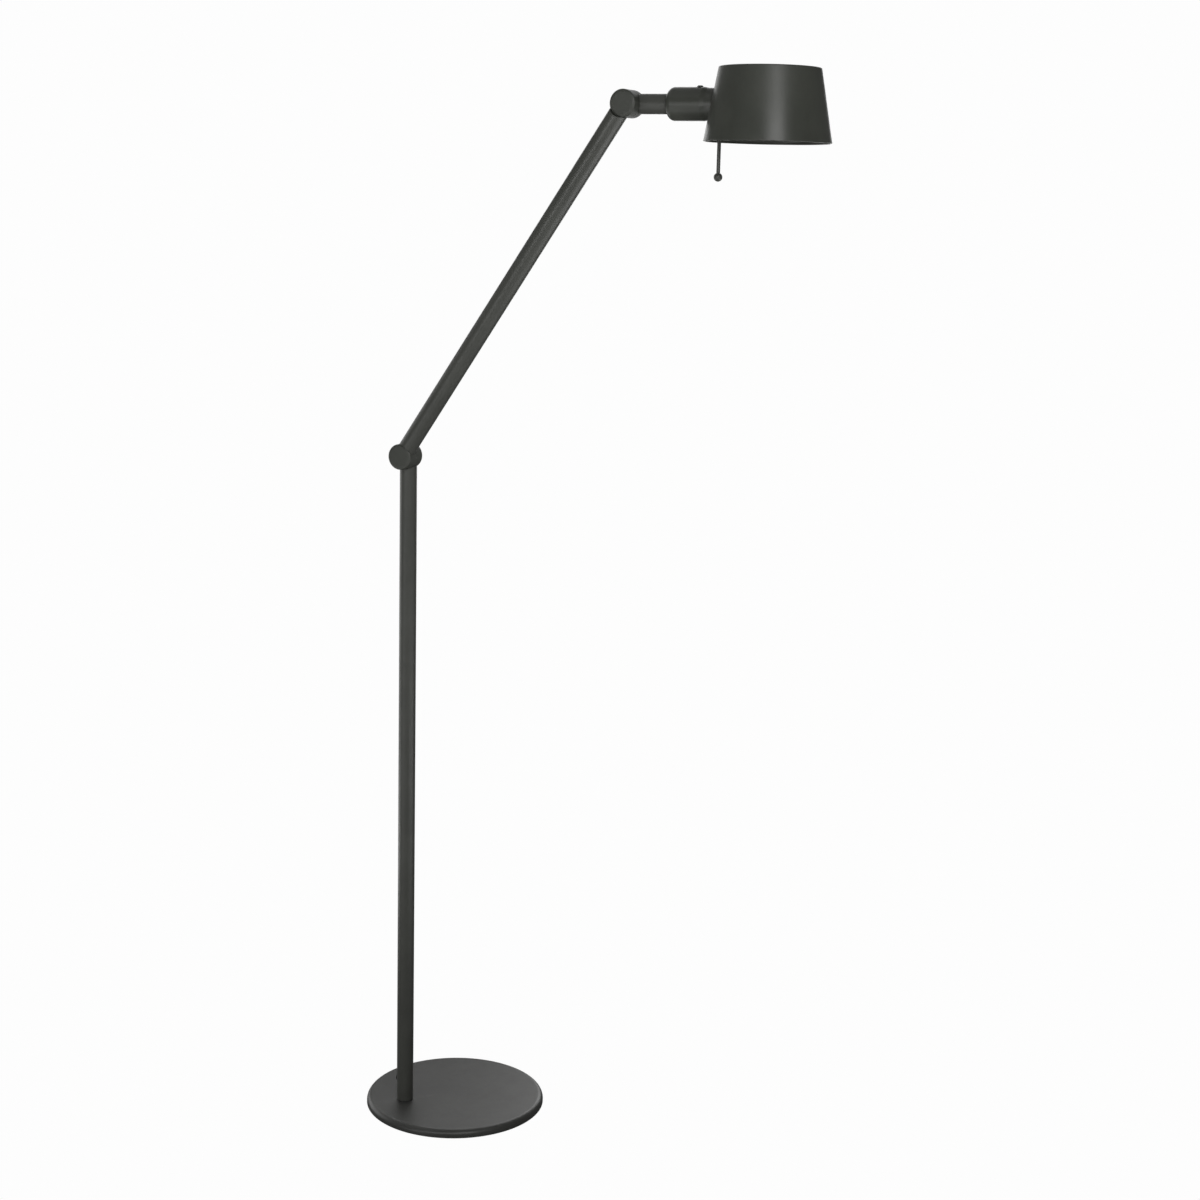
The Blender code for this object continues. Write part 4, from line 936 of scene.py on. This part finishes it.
def build_bulb():
    """A lamp with a white body and an opal globe."""
    body_low, body_high = (corner.x - NECK_AXIS.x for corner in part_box("bulb_body"))
    body_radius = size("bulb_body").y / 2
    body = lathe("bulb_housing", [
        (0.0, body_high, 0), (body_radius - 0.6 * MM, body_high, 0.3 * MM),
        (body_radius, body_high - 0.8 * MM, 0.3 * MM),
        (body_radius - MM, body_high - 8 * MM, 6 * MM),
        (18.5 * MM, body_low + 7.7 * MM, 12 * MM), (14.5 * MM, body_low + 2.2 * MM, 0.8 * MM),
        (13.4 * MM, body_low, 0.3 * MM), (0.0, body_low, 0)], NECK, steps=144)
    finished(body, "head", WHITE, ["bulb_body"])

    globe_low, globe_high = (corner.x - NECK_AXIS.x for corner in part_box("bulb_globe"))
    radius = size("bulb_globe").y / 2
    centre = globe_high - radius
    lowest = asin((globe_low - centre) / radius)
    wall = 1.2 * MM
    outline = []
    for shell in (radius, radius - wall):
        arc_points = []
        for k in range(41):
            turn = pi / 2 + (lowest - pi / 2) * k / 40
            arc_points.append((max(0.0, shell * cos(turn)) if k else 0.0,
                               centre + shell * sin(turn), 0))
        outline += arc_points if shell == radius else arc_points[::-1]
    globe = lathe("bulb_dome", outline, NECK, steps=144)
    finished(globe, "head", OPAL, ["bulb_globe"])


# ---------------------------------------------------------------- pull switch
def build_switch():
    """The switch's case, bored for its plunger and for the rod."""
    low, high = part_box("switch_body")
    case = block("switch_case", low, high, rounding=0.9 * MM)
    down = place_at(Vector((middle("pull_rod").x, NECK_AXIS.y, NECK_AXIS.z)), (0, 0, -1), (1, 0, 0))
    depth = NECK_AXIS.z - low.z
    cut(case, rod("cutter", SLEEVE_RADIUS + GAP, 110 * MM, 150 * MM, NECK, steps=128),
        rod("cutter", 3.4 * MM, 10 * MM, depth - 1.6 * MM, down),
        rod("cutter", 1.25 * MM, 10 * MM, 50 * MM, down))
    finished(case, "head", BAKELITE, ["switch_body"], sharp=30)


def build_pull_rod():
    """The rod with its forked top, and the ball that the hand finds."""
    down = place_at(Vector((middle("pull_rod").x, NECK_AXIS.y, NECK_AXIS.z)), (0, 0, -1), (1, 0, 0))
    low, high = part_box("pull_rod")
    top, bottom = NECK_AXIS.z - high.z, NECK_AXIS.z - low.z
    radius = (high.y - low.y) / 2
    pin_drop = NECK_AXIS.z - Vector(JOINTS["rod_swing"]["pos_m"]).z
    fork = pin_drop + 3.0 * MM
    pull = rod("pull", radius, top, bottom, down, 0.5 * MM)
    eye = place_at(Vector(JOINTS["rod_swing"]["pos_m"]), (0, 1, 0), (1, 0, 0))
    fork_gap = block("cutter", (-5 * MM, -1.2 * MM, pin_drop - 9 * MM), (5 * MM, 1.2 * MM, fork),
                     down)
    cut(pull, fork_gap, rod("cutter", 1.0 * MM, -5 * MM, 5 * MM, eye))
    finished(pull, "pull_rod", COAT_TUBE_PAINTED_LIGHTER, ["pull_rod"])

    ball_radius = size("pull_ball").x / 2
    low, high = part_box("pull_ball")
    drop = NECK_AXIS.z - low.z - ball_radius
    bore = radius + 0.2 * MM
    first = asin(bore / ball_radius)
    outline = [(0.0, drop + ball_radius, 0)]
    for k in range(1, 33):
        turn = pi - (pi - first) * k / 32
        outline.append((ball_radius * sin(turn), drop - ball_radius * cos(turn), 0))
    outline += [(bore, drop - ball_radius + 1.1 * MM, 0), (0.0, drop - ball_radius + 1.1 * MM, 0)]
    ball = lathe("pull_knob", outline, down, steps=96)
    finished(ball, "pull_rod", COAT_TUBE_PAINTED_LIGHTER, ["pull_ball"])


# ---------------------------------------------------------------- kept CAD nodes
def dress_cad_nodes():
    """Every CAD node that still shows gets the detailed material of its slot."""
    for subpart in frame["record"]["subparts"]:
        node = frame["nodes"][subpart["node"]]
        if node.hide_render:
            continue
        node.data.materials.clear()
        node.data.materials.append(SLOT_LOOKS[subpart["material_slot"]])


# ---------------------------------------------------------------- studio
PAPER_WHITE = 0.983
FILL_STRENGTH = 0.10
FLOOR_RADIUS = 4.0
FLOOR_LEVEL = -0.2 * MM
STUDIO_MIDDLE = Vector((0.2, -0.05, 0.0))
INWARDS, UPWARDS, DOWNWARDS = range(3)

# azimuth in degrees (0 on the -Y side, 90 on the +X side), distance, height, width, depth or
# tallness, brightness, and the way it faces
PANELS = {
    "key": (37, 2.6, 1.95, 1.40, 0.70, 5.7, INWARDS),
    "key_top": (42, 2.6, 2.75, 0.92, 0.90, 3.3, INWARDS),
    "front": (13, 2.6, 1.30, 2.90, 0.60, 1.5, INWARDS),
    "front_left": (-9, 2.6, 1.30, 0.72, 0.60, 4.8, INWARDS),
    "low_left": (-26, 2.6, 0.25, 0.90, 0.50, 2.2, INWARDS),
    "left_wall": (-100, 2.6, 0.80, 2.40, 1.60, 1.4, INWARDS),
    "back_right": (-170, 2.6, 1.05, 1.40, 1.10, 2.4, INWARDS),
    "back_top": (-155, 2.6, 2.40, 3.00, 1.60, 1.8, INWARDS),
    "right_floor": (90, 1.55, 0.0, 2.20, 0.80, 3.8, UPWARDS),
    "front_floor": (-10, 1.50, 0.0, 3.20, 0.80, 1.0, UPWARDS),
    "left_floor": (-90, 1.60, 0.0, 1.10, 0.80, 2.9, UPWARDS),
    "ceiling": (-90, 1.3, 3.3, 3.90, 1.30, 0.42, DOWNWARDS),
}


def paper_glow(tree, kind):
    """Nodes that are plain white to the eye, and a dim, even fill for the light."""
    seen = tree.nodes.new(kind)
    seen.inputs["Color"].default_value = (PAPER_WHITE, PAPER_WHITE, PAPER_WHITE, 1.0)
    seen.inputs["Strength"].default_value = 1.0
    fill = tree.nodes.new(kind)
    fill.inputs["Color"].default_value = (1.0, 1.0, 1.0, 1.0)
    fill.inputs["Strength"].default_value = FILL_STRENGTH
    path = tree.nodes.new("ShaderNodeLightPath")
    mix = tree.nodes.new("ShaderNodeMixShader")
    tree.links.new(path.outputs["Is Camera Ray"], mix.inputs[0])
    tree.links.new(fill.outputs[0], mix.inputs[1])
    tree.links.new(seen.outputs[0], mix.inputs[2])
    return mix.outputs[0]


def build_surroundings():
    """The same plain white all round."""
    world = bpy.data.worlds.new("studio")
    bpy.context.scene.world = world
    world.use_nodes = True
    tree = world.node_tree
    tree.nodes.remove(tree.nodes["Background"])
    tree.links.new(paper_glow(tree, "ShaderNodeBackground"),
                   tree.nodes["World Output"].inputs["Surface"])


def build_floor():
    """A pale floor, as bright as the surroundings, that hides nothing from below."""
    steps = 64
    work = bmesh.new()
    rim = [work.verts.new((FLOOR_RADIUS * cos(2 * pi * k / steps),
                           FLOOR_RADIUS * sin(2 * pi * k / steps), FLOOR_LEVEL))
           for k in range(steps)]
    work.faces.new(rim)
    floor = mesh_object("floor", work, UPRIGHT)
    if floor.data.polygons[0].normal.z < 0:
        floor.data.flip_normals()
    material = bpy.data.materials.new("studio_floor")
    material.use_nodes = True
    tree = material.node_tree
    tree.nodes.remove(tree.nodes["Principled BSDF"])
    side = tree.nodes.new("ShaderNodeNewGeometry")
    clear = tree.nodes.new("ShaderNodeBsdfTransparent")
    mix = tree.nodes.new("ShaderNodeMixShader")
    tree.links.new(side.outputs["Backfacing"], mix.inputs[0])
    tree.links.new(paper_glow(tree, "ShaderNodeEmission"), mix.inputs[1])
    tree.links.new(clear.outputs[0], mix.inputs[2])
    tree.links.new(mix.outputs[0], tree.nodes["Material Output"].inputs["Surface"])
    floor.data.materials.append(material)


def build_lights():
    """Evenly bright panels that stand round the lamp, lie near the floor or hang above."""
    for name, (azimuth, distance, height, width, tall, brightness, facing) in PANELS.items():
        data = bpy.data.lights.new(name, "AREA")
        data.shape = "RECTANGLE"
        data.size = width
        data.size_y = tall
        data.energy = brightness * pi * width * tall
        light = bpy.data.objects.new(name, data)
        turn = radians(azimuth)
        outward = Vector((sin(turn), -cos(turn), 0.0))
        place = STUDIO_MIDDLE + outward * distance + Vector((0, 0, height))
        back = {INWARDS: outward, UPWARDS: Vector((0, 0, -1)), DOWNWARDS: Vector((0, 0, 1))}[facing]
        light.matrix_world = place_at(place, back, (cos(turn), sin(turn), 0.0))
        bpy.context.scene.collection.objects.link(light)


CAMERA_PLACE = Vector((1.4205, -2.6079, 1.3693))
CAMERA_HEADING = 24.580             # degrees from +Y towards -X
CAMERA_PITCH = -10.923
CAMERA_ROLL = 1.37
CAMERA_LENS = 61.0                  # mm, on a 36 mm sensor


def build_camera():
    data = bpy.data.cameras.new("camera")
    data.lens = CAMERA_LENS
    data.sensor_width = 36.0
    camera = bpy.data.objects.new("camera", data)
    turn = Matrix.Rotation(radians(CAMERA_HEADING), 4, "Z")
    turn = turn @ Matrix.Rotation(radians(90 + CAMERA_PITCH), 4, "X")
    turn = turn @ Matrix.Rotation(radians(CAMERA_ROLL), 4, "Z")
    camera.matrix_world = Matrix.Translation(CAMERA_PLACE) @ turn
    bpy.context.scene.collection.objects.link(camera)
    bpy.context.scene.camera = camera
    bpy.context.scene.view_settings.view_transform = "Standard"


build_base()
build_foot_nut()
build_tubes()
build_knuckles()
build_housing()
build_shade()
build_lampholder()
build_bulb()
build_switch()
build_pull_rod()
dress_cad_nodes()
build_surroundings()
build_floor()
build_lights()
build_camera()
